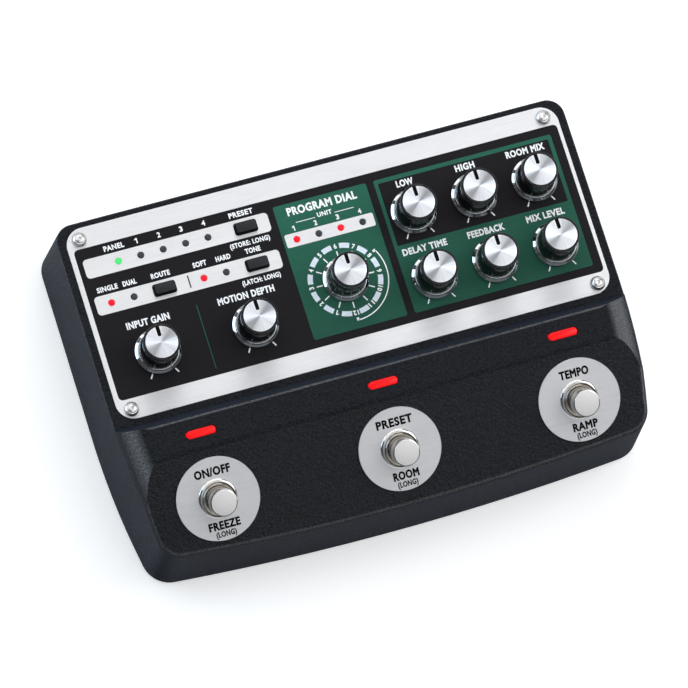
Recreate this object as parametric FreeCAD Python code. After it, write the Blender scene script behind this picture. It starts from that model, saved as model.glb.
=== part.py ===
"""Tape echo pedal: a floor unit with nine knobs, three buttons and three footswitches.

Millimetres. +X is the player's right, +Y points to the rear, where the jacks are, and +Z is up.
The origin is on the ground, under the middle of the whole pedal.
Each piece is written to parts/NAME.step.
"""
import FreeCAD, Part
import math
import os

V = FreeCAD.Vector

# Overall sizes
case_width = 192.0
pedal_depth = 133.0
foot_height = 1.2
panel_height = 38.9
clearance = 0.15
overrun = 1.0

# Die-cast case, in plan
side_bow_radius = 280.0
side_bow_start = -7.1
front_bow_radius = 1000.0
front_corner_radius = 10.0
rear_corner_radius = 8.5
draft_angle = 3.34
wall = 3.0

# Die-cast case, in side view
rim_drop = 0.2
deck_thickness = 2.5
hump_rise = 7.8
hump_foot_y = -13.9
hump_back_run = 3.4
hump_edge_radius = 1.5
crease_radius = 5.0
shoulder_radius = 12.7
shoulder_foot_rise = 0.4
shoulder_run_on = 1.2
foot_tilt = 23.42
plateau_rise = 0.4
switch_y = -46.1
front_edge_radius = 2.2
rim_edge_radius = 0.5

# Face plate
plate_inset = 5.25
plate_depth = 70.6
plate_thickness = 1.5
plate_corner_radius = 6.5
plate_y = 24.03
ledge_side = 6.5
ledge_end = 8.0
window_corner_radius = 8.0

# Screws
plate_screw_inset = 5.05
plate_screw_rear = 31.2
plate_screw_front = 31.8
plate_screw_radius = 1.5
plate_screw_length = 8.0
plate_screw_head_radius = 2.65
plate_screw_head_height = 1.7
plate_screw_edge_height = 0.6
plate_screw_crown_radius = 1.9
plate_screw_crown_round = 0.8
hex_socket_flat = 2.0
hex_socket_depth = 1.0
plate_screw_pad_radius = 3.85
plate_screw_pad_drop = 4.0
board_screw_radius = 1.25
board_screw_length = 6.0
board_screw_head_radius = 2.4
board_screw_head_height = 1.4
board_screw_head_bevel = 0.4
standoff_screw_length = 4.5
indicator_screw_bite = 1.5
base_screw_radius = 1.5
base_screw_length = 9.0
base_screw_head_radius = 2.9
pilot_clearance = 0.05
pilot_extra = 0.5

# Knobs
left_knob_inset = 19.75
left_knob_pitch = 35.5
left_knob_y = 9.5
mode_knob_y = 17.1
right_knob_inset = 15.25
right_knob_pitch = 22.5
right_knob_rear_y = 34.2
right_knob_front_y = 9.75
knob_gap = 0.7
knob_height = 13.1
skirt_radius = 8.1
skirt_height = 1.9
skirt_lip = 0.9
knob_foot_radius = 6.9
knob_top_radius = 6.3
cap_radius = 5.7
cap_thickness = 0.5
trim_gap = 0.02
knob_edge_bevel = 0.2
skirt_edge_bevel = 0.2
skirt_step = 0.45
skirt_bead = 0.25
rim_groove_depth = 0.25
rim_groove_height = 0.5
rim_groove_drop = 2.2
pointer_width = 1.05
pointer_length = 3.4
shaft_radius = 3.0
shaft_flat = 1.5
shaft_bore_clearance = 0.05
shaft_reach = 10.5
shaft_end_gap = 0.3
shaft_hole_radius = 4.0

# Pots and the panel board
pot_width = 12.0
pot_depth = 13.0
pot_height = 6.5
selector_width = 15.5
pot_gap = 0.4
pot_bearing_clearance = 0.06
pot_floor = 0.8
shaft_foot_gap = 0.2
board_thickness = 1.6
board_corner_radius = 2.0
panel_board_inset = 6.75
panel_board_front = -9.5
panel_board_rear = 57.8
panel_boss_radius = 3.0
panel_boss_x = 55.0
panel_boss_rear = 55.3
panel_boss_front = -7.3

# Status lamps
lamp_radius = 1.15
lamp_rise = 0.3
lamp_clearance = 0.1
lamp_chamfer = 0.25
lamp_flange = 0.6
flange_gap = 0.1
lamp_pitch = 8.18
mode_lamp_pitch = 8.1
lamp_row_rear = 44.4
lamp_row_front = 30.66
lamp_row_mode = 35.55
memory_lamp_inset = 15.95
input_lamp_inset = 9.35
tape_lamp_inset = 43.0

# Push buttons
memory_button_inset = 62.5
input_button_inset = 28.65
button_width = 7.8
button_depth = 4.0
button_rise = 1.7
button_corner_radius = 0.9
button_bevel = 0.35
button_flange = 0.9
button_flange_thickness = 0.8
button_travel = 0.4
tact_width = 6.0
tact_height = 3.5
tact_plunger_radius = 1.7
tact_plunger_height = 0.8

# Footswitches
switch_inset = 29.75
disc_radius = 14.8
disc_thickness = 0.5
bushing_radius = 6.0
bushing_clearance = 0.1
bushing_rise = 2.2
bore_clearance = 0.08
switch_body_width = 17.0
switch_body_depth = 16.0
switch_body_length = 18.0
nut_radius = 7.0
nut_height = 2.0
nut_bevel = 0.3
nut_bead = 0.5
nut_dish = 0.5
plunger_radius = 4.8
plunger_rise = 9.3
plunger_chamfer = 0.5
plunger_inside = 5.0
plunger_travel = 3.0
bore_floor_gap = 1.5

# Indicator bars above the footswitches
indicator_width = 10.8
indicator_depth = 2.85
indicator_rise = 0.25
indicator_y = -23.5
indicator_flange = 1.1
indicator_flange_thickness = 1.0
indicator_flange_radius = 0.8
indicator_board_inset = 21.0
indicator_board_depth = 6.4
indicator_board_thickness = 1.2
indicator_boss_radius = 2.6
indicator_boss_x = 33.0

# Rear connectors, all seated on a flat recess in the rear wall
jack_face_y = 61.4
jack_wall = 2.5
jack_board_gap = 7.8
recess_inset = 7.0
recess_reach = 10.0
recess_depth = 0.9
input_jack_inset = 20.0
input_jack_pitch = 20.0
output_jack_x = 30.0
output_jack_pitch = 20.0
control_jack_x = -12.0
jack_body_width = 15.0
jack_body_height = 13.0
jack_body_length = 26.0
jack_bushing_radius = 4.5
jack_bushing_flat = 4.05
jack_bushing_clearance = 0.15
jack_bore_radius = 3.25
jack_bore_depth = 24.0
jack_nut_flat = 12.0
jack_nut_thickness = 2.2
mini_jack_inset = 51.0
mini_jack_pitch = 11.0
mini_jack_body = 8.0
mini_jack_length = 13.0
mini_jack_nose_radius = 3.0
mini_jack_nose_flat = 2.7
mini_jack_bore_radius = 1.8
mini_jack_bore_depth = 12.0
usb_inset = 38.0
usb_width = 7.6
usb_height = 2.6
usb_shell = 0.4
usb_length = 6.0
usb_clearance = 0.5
usb_tongue_width = 3.8
usb_tongue_thickness = 0.6
usb_tongue_gap = 1.0
dc_inset = 22.0
dc_width = 9.5
dc_height = 11.0
dc_length = 13.5
dc_mouth_radius = 3.1
dc_pin_radius = 1.0
dc_depth = 9.5
dc_pin_gap = 1.0
dc_front_inset = 0.5
dc_front_drop = 0.7

# Base, feet and main board
base_thickness = 1.5
base_rabbet = 1.5
foot_radius = 8.0
rubber_foot_bevel = 0.4
rubber_foot_inset = 22.0
rubber_foot_rear = 44.0
rubber_foot_front = -44.0
main_board_inset = 14.2
main_board_front = 8.0
board_wall_gap = 0.8
standoff_radius = 2.8
standoff_inset = 18.0
standoff_front_inset = 6.0
standoff_rear_inset = 8.9
base_post_radius = 4.2
base_post_inset = 7.0
base_post_rear_y = 51.0
base_post_middle_y = 4.0
base_post_front_inset = 16.0
base_post_front_y = -55.0

# Places worked out from the sizes above
half_width = case_width / 2
front_y = -pedal_depth / 2
jack_tip_y = pedal_depth / 2
base_z = foot_height
rim_z = panel_height - rim_drop
hump_z = panel_height + hump_rise
top_z = hump_z + 2 * overrun
draft = math.tan(math.radians(draft_angle))
slope = math.tan(math.radians(foot_tilt))
slope_cos = math.cos(math.radians(foot_tilt))
plate_half = half_width - plate_inset
plateau_z = panel_height + plateau_rise
crease_y = switch_y + (hump_z - plateau_z) / slope
hump_back_y = hump_foot_y - hump_back_run
plate_bottom_z = panel_height - plate_thickness
deck_under_z = plate_bottom_z - deck_thickness
panel_board_z = plate_bottom_z - pot_gap - pot_height - board_thickness
jack_height = panel_board_z - jack_board_gap - jack_body_height / 2
main_board_z = jack_height - jack_body_height / 2 - board_thickness
recess_bottom = jack_height - recess_reach
recess_top = jack_height + recess_reach
rear_y = jack_face_y + draft * (recess_top - base_z) + recess_depth
jack_inner_y = jack_face_y - jack_wall
base_top_z = base_z + base_thickness
panel_board_half = plate_half - panel_board_inset
indicator_board_half = half_width - indicator_board_inset
main_board_half = half_width - main_board_inset
plate_screw_x = plate_half - plate_screw_inset
switch_x = half_width - switch_inset
usb_x = usb_inset - half_width
dc_x = dc_inset - half_width
mini_jack_x = mini_jack_inset - half_width
left_knob_x = left_knob_inset - plate_half
right_knob_x = plate_half - right_knob_inset
memory_button_x = memory_button_inset - plate_half
knob_places = [
    ("saturation", left_knob_x, left_knob_y),
    ("wow_flutter", left_knob_x + left_knob_pitch, left_knob_y),
    ("mode", 0.0, mode_knob_y),
    ("bass", right_knob_x - 2 * right_knob_pitch, right_knob_rear_y),
    ("treble", right_knob_x - right_knob_pitch, right_knob_rear_y),
    ("reverb", right_knob_x, right_knob_rear_y),
    ("rate", right_knob_x - 2 * right_knob_pitch, right_knob_front_y),
    ("intensity", right_knob_x - right_knob_pitch, right_knob_front_y),
    ("echo", right_knob_x, right_knob_front_y),
]
button_places = [
    ("button_memory", memory_button_x, lamp_row_rear),
    ("button_input", input_button_inset - plate_half, lamp_row_front),
    ("button_tape", memory_button_x, lamp_row_front),
]
phone_jacks = [
    ("jack_input_a", half_width - input_jack_inset),
    ("jack_input_b", half_width - input_jack_inset - input_jack_pitch),
    ("jack_output_a", output_jack_x),
    ("jack_output_b", output_jack_x - output_jack_pitch),
    ("jack_control", control_jack_x),
]


def box(x0, x1, y0, y1, z0, z1):
    """Box between two opposite corners."""
    return Part.makeBox(x1 - x0, y1 - y0, z1 - z0, V(x0, y0, z0))


def cylinder(radius, z0, z1, x=0.0, y=0.0):
    """Upright cylinder."""
    return Part.makeCylinder(radius, z1 - z0, V(x, y, z0))


def level_cylinder(radius, y0, y1, x, z):
    """Cylinder along the Y axis."""
    return Part.makeCylinder(radius, y1 - y0, V(x, y0, z), V(0, 1, 0))


def rounded_box(width, depth, radius, z0, z1, x=0.0, y=0.0):
    """Upright block with rounded vertical edges, centred on x, y."""
    corners = [(-1, -1), (1, -1), (1, 1), (-1, 1)]
    points = [(x + sx * width / 2, y + sy * depth / 2, radius) for sx, sy in corners]
    wire = rounded_wire(points, lambda a, b: V(a, b, z0))
    return Part.Face(wire).extrude(V(0, 0, z1 - z0))


def rounded_wire(corners, to_vector):
    """Closed wire through flat corners (a, b, radius), each rounded with its own radius."""
    stops = []
    count = len(corners)
    for index, (a, b, radius) in enumerate(corners):
        before = corners[index - 1]
        after = corners[(index + 1) % count]
        ua, ub = before[0] - a, before[1] - b
        va, vb = after[0] - a, after[1] - b
        u_length, v_length = math.hypot(ua, ub), math.hypot(va, vb)
        ua, ub, va, vb = ua / u_length, ub / u_length, va / v_length, vb / v_length
        if radius <= 0:
            stops.append([(a, b)])
            continue
        half = math.acos(max(-1.0, min(1.0, ua * va + ub * vb))) / 2
        reach = radius / math.tan(half)
        ma, mb = ua + va, ub + vb
        middle = (radius / math.sin(half) - radius) / math.hypot(ma, mb)
        stops.append([
            (a + ua * reach, b + ub * reach),
            (a + ma * middle, b + mb * middle),
            (a + va * reach, b + vb * reach),
        ])
    edges = []
    for index, stop in enumerate(stops):
        if len(stop) == 3:
            edges.append(Part.Arc(*[to_vector(*point) for point in stop]).toShape())
        start = to_vector(*stop[-1])
        end = to_vector(*stops[(index + 1) % count][0])
        if start.distanceToPoint(end) > 1e-6:
            edges.append(Part.makeLine(start, end))
    return Part.Wire(edges)


def lathe(profile):
    """Solid turned about the Z axis from (radius, z, corner radius) points."""
    face = Part.Face(rounded_wire(profile, lambda r, z: V(r, 0, z)))
    return face.revolve(V(0, 0, 0), V(0, 0, 1), 360)


def side_prism(profile, half_length):
    """Prism along X with a side view of (y, z, corner radius) points."""
    face = Part.Face(rounded_wire(profile, lambda y, z: V(-half_length, y, z)))
    return face.extrude(V(2 * half_length, 0, 0))


def foot_place(x):
    """Placement of footswitch parts: the origin on the plateau, Z along its normal."""
    return FreeCAD.Placement(V(x, switch_y, plateau_z), FreeCAD.Rotation(V(1, 0, 0), foot_tilt))


def placed(shape, placement):
    """Copy of a shape moved to a placement."""
    moved = shape.copy()
    moved.Placement = placement.multiply(moved.Placement)
    return moved


def fuse_all(shapes):
    """One solid from touching shapes."""
    return shapes[0].multiFuse(shapes[1:]).removeSplitter()


def both_sides(shape):
    """A shape and its mirror image about the middle plane."""
    return [shape, shape.mirror(V(0, 0, 0), V(1, 0, 0))]


def plan_corner():
    """Centre of the front right corner, tangent inside the side bow and the front bow."""
    side_x, side_y = half_width - side_bow_radius, side_bow_start
    centre_y = front_y + front_bow_radius
    side_reach = side_bow_radius - front_corner_radius
    front_reach = front_bow_radius - front_corner_radius
    span = math.hypot(side_x, centre_y - side_y)
    along = (side_reach ** 2 - front_reach ** 2 + span ** 2) / (2 * span)
    across = math.sqrt(side_reach ** 2 - along ** 2)
    ux, uy = -side_x / span, (centre_y - side_y) / span
    return side_x + ux * along + uy * across, side_y + uy * along - ux * across


def plan_outline(inset, z):
    """Outline of the case in plan at height z, inset from its foot."""
    corner_x, corner_y = plan_corner()
    side_x, side_y = half_width - side_bow_radius, side_bow_start
    front_centre_y = front_y + front_bow_radius

    def on_circle(cx, cy, radius, angle):
        return V(cx + radius * math.cos(angle), cy + radius * math.sin(angle), z)

    side_end = math.atan2(corner_y - side_y, corner_x - side_x)
    front_end = math.atan2(corner_y - front_centre_y, corner_x)
    corner_radius = front_corner_radius - inset
    rear_radius = rear_corner_radius - inset
    rear_x, rear_cy = half_width - rear_corner_radius, rear_y - rear_corner_radius
    side_radius = side_bow_radius - inset
    front_radius = front_bow_radius - inset
    arcs = [
        [on_circle(rear_x, rear_cy, rear_radius, math.pi / 2 - math.pi / 4 * step) for step in range(3)],
        [on_circle(side_x, side_y, side_radius, side_end / 2 * step) for step in range(3)],
        [on_circle(corner_x, corner_y, corner_radius, side_end + (front_end - side_end) / 2 * step)
         for step in range(3)],
    ]
    right = []
    for index, points in enumerate(arcs):
        if index and arcs[index - 1][-1].distanceToPoint(points[0]) > 1e-6:
            right.append(Part.makeLine(arcs[index - 1][-1], points[0]))
        right.append(Part.Arc(*points).toShape())
    last, first = arcs[-1][-1], arcs[0][0]
    middle = V(0, front_y + inset, z)
    front = Part.Arc(last, middle, V(-last.x, last.y, z)).toShape()
    left = [edge.mirror(V(0, 0, 0), V(1, 0, 0)) for edge in right]
    back = Part.makeLine(V(-first.x, first.y, z), first)
    return Part.Wire(Part.__sortEdges__(right + [front] + left + [back]))


def drafted_block(inset, z0, z1):
    """Block with the case's outline, its walls leaning inward as they rise."""
    wires = [plan_outline(inset + draft * (z - base_z), z) for z in (z0, z1)]
    return Part.makeLoft(wires, True, True)


def shoulder_cutter(radius):
    """What a rounded shoulder takes off each end of the hump, following the bowed sides."""
    centre_z = hump_z - shoulder_radius
    meet_z = rim_z + shoulder_foot_rise
    wall_radius = side_bow_radius - draft * (meet_z - base_z)
    centre_r = wall_radius - math.sqrt(shoulder_radius ** 2 - (meet_z - centre_z) ** 2)
    low_z = meet_z - shoulder_run_on
    low_r = centre_r + math.sqrt(radius ** 2 - (low_z - centre_z) ** 2)
    mid_angle = math.atan2(low_z - centre_z, low_r - centre_r) / 2 + math.pi / 4
    axis_x = half_width - side_bow_radius

    def at(r, z):
        return V(axis_x + r, side_bow_start, z)

    high_z = centre_z + radius
    arc = Part.Arc(
        at(centre_r, high_z),
        at(centre_r + radius * math.cos(mid_angle), centre_z + radius * math.sin(mid_angle)),
        at(low_r, low_z),
    ).toShape()
    outer_r = side_bow_radius + shoulder_radius
    corners = [(low_r, low_z), (outer_r, low_z), (outer_r, top_z + overrun), (centre_r, top_z + overrun)]
    path = [at(*corner) for corner in corners + [(centre_r, high_z)]]
    face = Part.Face(Part.Wire([arc] + Part.makePolygon(path).Edges))
    sweep = math.degrees(math.asin(pedal_depth / 2 / centre_r))
    return face.revolve(V(axis_x, side_bow_start, 0), V(0, 0, 1), -sweep)


def case_side_view(depth):
    """Side view of the case, or of its hollow at a depth under the skin."""
    far = pedal_depth
    edge = hump_edge_radius if depth == 0 else 0
    crease = crease_radius + depth
    deck = rim_z if depth == 0 else deck_under_z
    rear = far if depth == 0 else jack_inner_y
    top = hump_z - depth
    drop = depth / slope_cos
    end_y = -far
    return [
        (rear, base_z - overrun, 0),
        (rear, deck, 0),
        (hump_foot_y - depth, deck, 0),
        (hump_back_y - depth, top, edge),
        (switch_y + (top - plateau_z + drop) / slope, top, crease),
        (end_y, plateau_z - drop + slope * (end_y - switch_y), 0),
        (end_y, base_z - overrun, 0),
    ]


def post_top(y):
    """Height at which a post from below ends, inside the case's top wall."""
    if y > hump_foot_y:
        return deck_under_z + overrun
    return plateau_z + slope * (y - switch_y) - wall / slope_cos + overrun


def base_screw_places():
    """Centres of the screws that hold the base plate."""
    rear_x = half_width - base_post_inset
    posts = [(rear_x, base_post_rear_y), (rear_x, base_post_middle_y)]
    posts.append((half_width - base_post_front_inset, base_post_front_y))
    return [(side * x, y) for x, y in posts for side in (-1, 1)]


def standoff_places():
    """Centres of the standoffs that carry the main board."""
    side_x = half_width - standoff_inset
    front_row_y = main_board_front + standoff_front_inset
    rear_row_y = jack_inner_y - standoff_rear_inset
    inputs_x = half_width - input_jack_inset - input_jack_pitch
    between_phones_x = (inputs_x + output_jack_x) / 2
    mini_side_x = mini_jack_x + mini_jack_pitch + mini_jack_body / 2
    between_kinds_x = (mini_side_x + control_jack_x - jack_body_width / 2) / 2
    places = [(-side_x, front_row_y), (0.0, front_row_y), (side_x, front_row_y)]
    return places + [(between_phones_x, rear_row_y), (between_kinds_x, rear_row_y)]


def plate_screw_places():
    """Centres of the face plate's screws."""
    rows = (plate_y + plate_screw_rear, plate_y - plate_screw_front)
    return [(side * plate_screw_x, y) for y in rows for side in (-1, 1)]


def panel_boss_places():
    """Centres of the bosses that carry the panel board."""
    rows = (panel_boss_rear, panel_boss_front)
    return [(side * panel_boss_x, y) for y in rows for side in (-1, 0, 1)]


def lamp_places():
    """Centres of the thirteen status lamps."""
    rows = [
        (memory_lamp_inset, lamp_row_rear, 5),
        (input_lamp_inset, lamp_row_front, 2),
        (tape_lamp_inset, lamp_row_front, 2),
    ]
    places = [(inset - plate_half + lamp_pitch * step, y)
              for inset, y, count in rows for step in range(count)]
    places += [(mode_lamp_pitch * (step - 1.5), lamp_row_mode) for step in range(4)]
    return places


def switch_places():
    """X positions of the three footswitches."""
    return (-switch_x, 0.0, switch_x)


def mini_jack_places():
    """X positions of the two small jacks."""
    return (mini_jack_x, mini_jack_x + mini_jack_pitch)


def slot(width, depth, z0, z1, x, y):
    """Round-ended bar, upright."""
    return rounded_box(width, depth, depth / 2 - 0.01, z0, z1, x, y)


def double_d(radius, flat, y0, y1, x, z):
    """Round bar along Y with a flat above and below."""
    bar = level_cylinder(radius, y0, y1, x, z)
    return bar.common(box(x - radius, x + radius, y0, y1, z - flat, z + flat))


def hexagon(across, y0, y1, x, z):
    """Hexagonal bar along Y."""
    reach = across / math.sqrt(3)
    points = [V(x + reach * math.cos(math.pi / 3 * step), y0, z + reach * math.sin(math.pi / 3 * step))
              for step in range(7)]
    return Part.Face(Part.makePolygon(points)).extrude(V(0, y1 - y0, 0))


def edges_where(shape, chosen):
    """Edges whose sample points all satisfy a rule."""
    edges = []
    for edge in shape.Edges:
        ends = edge.ParameterRange
        samples = [edge.valueAt(ends[0] + (ends[1] - ends[0]) * share) for share in (0.15, 0.5, 0.85)]
        if all(chosen(point) for point in samples):
            edges.append(edge)
    return edges


def soften(shape, radius, chosen):
    """Fillet on the edges that satisfy a rule."""
    return shape.makeFillet(radius, edges_where(shape, chosen))


def bevel(shape, size, chosen):
    """Chamfer on the edges that satisfy a rule."""
    return shape.makeChamfer(size, edges_where(shape, chosen))


def on_plateau(point):
    """True on the sloping top that carries the footswitches."""
    return abs(point.z - plateau_z - slope * (point.y - switch_y)) < 0.01 and point.y < crease_y


def make_case_skin():
    """Outer form of the case: drafted walls, level rim, hump, rounded shoulders and slope."""
    skin = drafted_block(0, base_z, top_z)
    skin = skin.common(side_prism(case_side_view(0), case_width))
    for cutter in both_sides(shoulder_cutter(shoulder_radius)):
        skin = skin.cut(cutter)
    front_line = crease_y - crease_radius - overrun
    skin = soften(skin, front_edge_radius, lambda p: on_plateau(p) and p.y < front_line)
    rear_part = box(-case_width, case_width, hump_foot_y, pedal_depth, 0, top_z)
    rim = soften(skin.common(rear_part), rim_edge_radius,
                 lambda p: abs(p.z - rim_z) < 0.01 and p.y > hump_foot_y + 0.01)
    return skin.cut(rear_part).fuse(rim).removeSplitter()


def make_case():
    """Die-cast upper case with its hollow, posts, recesses and holes."""
    skin = make_case_skin()
    hollow = drafted_block(wall, base_z - overrun, top_z)
    hollow = hollow.common(side_prism(case_side_view(wall), case_width))
    for cutter in both_sides(shoulder_cutter(shoulder_radius - wall)):
        hollow = hollow.cut(cutter)
    case = skin.cut(hollow)

    posts = [cylinder(base_post_radius, base_top_z, post_top(y), x, y) for x, y in base_screw_places()]
    board_top = panel_board_z + board_thickness
    posts += [cylinder(panel_boss_radius, board_top, deck_under_z + overrun, x, y)
              for x, y in panel_boss_places()]
    strip_top = hump_z - wall - indicator_flange_thickness
    posts += [cylinder(indicator_boss_radius, strip_top, hump_z - wall + overrun, x, indicator_y)
              for x in (-indicator_boss_x, indicator_boss_x)]
    pad_low = deck_under_z - plate_screw_pad_drop
    pads = [cylinder(plate_screw_pad_radius, pad_low, deck_under_z + overrun, x, y)
            for x, y in plate_screw_places()]
    case = case.multiFuse([post.common(skin) for post in posts + pads])

    pocket = rounded_box(2 * plate_half + 2 * clearance, plate_depth + 2 * clearance,
                         plate_corner_radius + clearance, plate_bottom_z, top_z, 0, plate_y)
    window = rounded_box(2 * plate_half - 2 * ledge_side, plate_depth - 2 * ledge_end,
                         window_corner_radius, deck_under_z - overrun, top_z, 0, plate_y)
    recess_half = half_width - recess_inset
    recess = box(-recess_half, recess_half, jack_face_y, pedal_depth, recess_bottom, recess_top)
    rabbet_outline = plan_outline(base_rabbet, base_z - overrun)
    rabbet = Part.Face(rabbet_outline).extrude(V(0, 0, base_thickness + overrun))
    cutters = [pocket, window, recess, rabbet]

    for x, y in plate_screw_places():
        cutters.append(cylinder(plate_screw_radius + pilot_clearance,
                                panel_height - plate_screw_length - pilot_extra, top_z, x, y))
    for x, y in base_screw_places():
        cutters.append(cylinder(base_screw_radius + pilot_clearance, base_z,
                                base_z + base_screw_length + pilot_extra, x, y))
    for x, y in panel_boss_places():
        cutters.append(cylinder(board_screw_radius + pilot_clearance, panel_board_z,
                                panel_board_z + board_screw_length + pilot_extra, x, y))
    for x in (-indicator_boss_x, indicator_boss_x):
        cutters.append(cylinder(board_screw_radius + pilot_clearance, strip_top - overrun,
                                strip_top + indicator_screw_bite + pilot_extra, x, indicator_y))
    for x in switch_places():
        hole = cylinder(bushing_radius + bushing_clearance, -2 * wall, 2 * wall)
        cutters.append(placed(hole, foot_place(x)))
        cutters.append(slot(indicator_width + 2 * lamp_clearance, indicator_depth + 2 * lamp_clearance,
                            hump_z - wall - overrun, top_z, x, indicator_y))
    for _, x in phone_jacks:
        cutters.append(double_d(jack_bushing_radius + jack_bushing_clearance,
                                jack_bushing_flat + jack_bushing_clearance,
                                jack_inner_y - overrun, rear_y + overrun, x, jack_height))
    for x in mini_jack_places():
        cutters.append(mini_nose(x, jack_bushing_clearance, jack_inner_y - overrun, rear_y + overrun))
    usb_half = usb_width / 2 + usb_clearance
    cutters.append(box(usb_x - usb_half, usb_x + usb_half, jack_inner_y - overrun, rear_y + overrun,
                       usb_bottom() - usb_clearance, usb_bottom() + usb_height + usb_clearance))
    cutters.append(dc_mouth(clearance, jack_inner_y - overrun, rear_y + overrun))
    return case.cut(cutters)


def mini_nose(x, grow, y0, y1):
    """Nose of a small jack: a round with flats, standing in its hole."""
    z = main_board_z + board_thickness + mini_jack_body / 2
    return double_d(mini_jack_nose_radius + grow, mini_jack_nose_flat + grow, y0, y1, x, z)


def usb_bottom():
    """Height of the underside of the small data socket."""
    return main_board_z + board_thickness


def dc_mouth(grow, y0, y1):
    """Square front of the power socket, standing in its hole."""
    z = main_board_z + board_thickness
    half = dc_width / 2 - dc_front_inset + grow
    middle = z + dc_height / 2
    reach = dc_height / 2 - dc_front_drop + grow
    return box(dc_x - half, dc_x + half, y0, y1, middle - reach, middle + reach)


def make_face_plate():
    """Aluminium face plate with its holes."""
    plate = rounded_box(2 * plate_half, plate_depth, plate_corner_radius,
                        plate_bottom_z, panel_height, 0, plate_y)
    low, high = plate_bottom_z - overrun, panel_height + overrun
    holes = [cylinder(shaft_hole_radius, low, high, x, y) for _, x, y in knob_places]
    holes += [cylinder(lamp_radius + lamp_clearance, low, high, x, y) for x, y in lamp_places()]
    holes += [cylinder(plate_screw_radius + clearance, low, high, x, y) for x, y in plate_screw_places()]
    holes += [rounded_box(button_width + 2 * clearance, button_depth + 2 * clearance,
                          button_corner_radius + clearance, low, high, x, y)
              for _, x, y in button_places]
    return plate.cut(holes)


def make_plate_screws():
    """Four domed screws in the corners of the face plate, each with a hexagon socket."""
    screw = lathe([
        (0, -plate_screw_length, 0),
        (plate_screw_radius, -plate_screw_length, 0),
        (plate_screw_radius, 0, 0),
        (plate_screw_head_radius, 0, 0),
        (plate_screw_head_radius, plate_screw_edge_height, 0),
        (plate_screw_crown_radius, plate_screw_head_height, plate_screw_crown_round),
        (0, plate_screw_head_height, 0),
    ])
    reach = hex_socket_flat / math.sqrt(3)
    floor = plate_screw_head_height - hex_socket_depth
    points = [V(reach * math.cos(math.pi / 3 * step), reach * math.sin(math.pi / 3 * step), floor)
              for step in range(7)]
    screw = screw.cut(Part.Face(Part.makePolygon(points)).extrude(V(0, 0, plate_screw_head_height)))
    return [screw.translated(V(x, y, panel_height)) for x, y in plate_screw_places()]


def make_knob():
    """Black knob body, standing on z = 0 at the panel, with a bore for its D shaft."""
    foot = knob_gap
    top = knob_height
    groove = top - rim_groove_drop
    neck = knob_top_radius - rim_groove_depth
    body = lathe([
        (0, foot, 0),
        (knob_foot_radius, foot, 0),
        (knob_foot_radius, foot + skirt_height, 0),
        (knob_top_radius, groove - rim_groove_height, 0),
        (neck, groove - rim_groove_height, 0),
        (neck, groove, 0),
        (knob_top_radius, groove, 0),
        (knob_top_radius, top - knob_edge_bevel, 0),
        (knob_top_radius - knob_edge_bevel, top, 0),
        (cap_radius + trim_gap, top, 0),
        (cap_radius + trim_gap, top - cap_thickness, 0),
        (0, top - cap_thickness, 0),
    ])
    return body.cut(d_shaft(shaft_bore_clearance, foot - overrun, shaft_reach + shaft_end_gap))


def d_shaft(grow, z0, z1):
    """Shaft with one flat, grown by a clearance."""
    radius = shaft_radius + grow
    shaft = cylinder(radius, z0, z1)
    flat = box(-radius, radius, -radius, shaft_flat + grow, z0, z1)
    return shaft.common(flat)


def make_knob_shaft():
    """Pot shaft: a round foot in its bearing and a D-shaped end in the knob."""
    low = panel_board_z + board_thickness + pot_floor + shaft_foot_gap - panel_height
    return cylinder(shaft_radius, low, knob_gap).fuse(d_shaft(0, knob_gap, shaft_reach)).removeSplitter()


def make_knob_trim():
    """Bright metal of a knob: the stepped skirt ring and the spun cap with its pointer slot."""
    foot = knob_gap
    inner = knob_foot_radius + trim_gap
    skirt = lathe([
        (inner, foot, 0),
        (skirt_radius, foot, 0),
        (skirt_radius, foot + skirt_lip - skirt_edge_bevel, 0),
        (skirt_radius - skirt_edge_bevel, foot + skirt_lip, 0),
        (skirt_radius - skirt_step, foot + skirt_lip, 0),
        (inner + skirt_bead, foot + skirt_height, 0),
        (inner, foot + skirt_height, 0),
    ])
    cap = lathe([
        (0, knob_height - cap_thickness, 0),
        (cap_radius, knob_height - cap_thickness, 0),
        (cap_radius, knob_height, 0),
        (0, knob_height, 0),
    ])
    end = cap_radius - pointer_length + pointer_width / 2
    low, high = knob_height - cap_thickness - overrun, knob_height + overrun
    pointer = box(-pointer_width / 2, pointer_width / 2, end, cap_radius + overrun, low, high)
    return [skirt, cap.cut([pointer, cylinder(pointer_width / 2, low, high, 0, end)])]


def make_pots():
    """Bodies of the eight pots and of the mode selector, on the panel board."""
    bodies = []
    low = panel_board_z + board_thickness
    for name, x, y in knob_places:
        width = selector_width if name == "mode" else pot_width
        high = low + pot_height
        body = box(x - width / 2, x + width / 2, y - pot_depth / 2, y + pot_depth / 2, low, high)
        bore = cylinder(shaft_radius + pot_bearing_clearance, low + pot_floor, high + overrun, x, y)
        bodies.append(body.cut(bore))
    return bodies


def make_panel_board():
    """Board under the face plate, with its screw holes."""
    middle = (panel_board_front + panel_board_rear) / 2
    board = rounded_box(2 * panel_board_half, panel_board_rear - panel_board_front, board_corner_radius,
                        panel_board_z, panel_board_z + board_thickness, 0, middle)
    holes = [cylinder(board_screw_radius + clearance, panel_board_z - overrun,
                      panel_board_z + board_thickness + overrun, x, y)
             for x, y in panel_boss_places()]
    return board.cut(holes)


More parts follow.
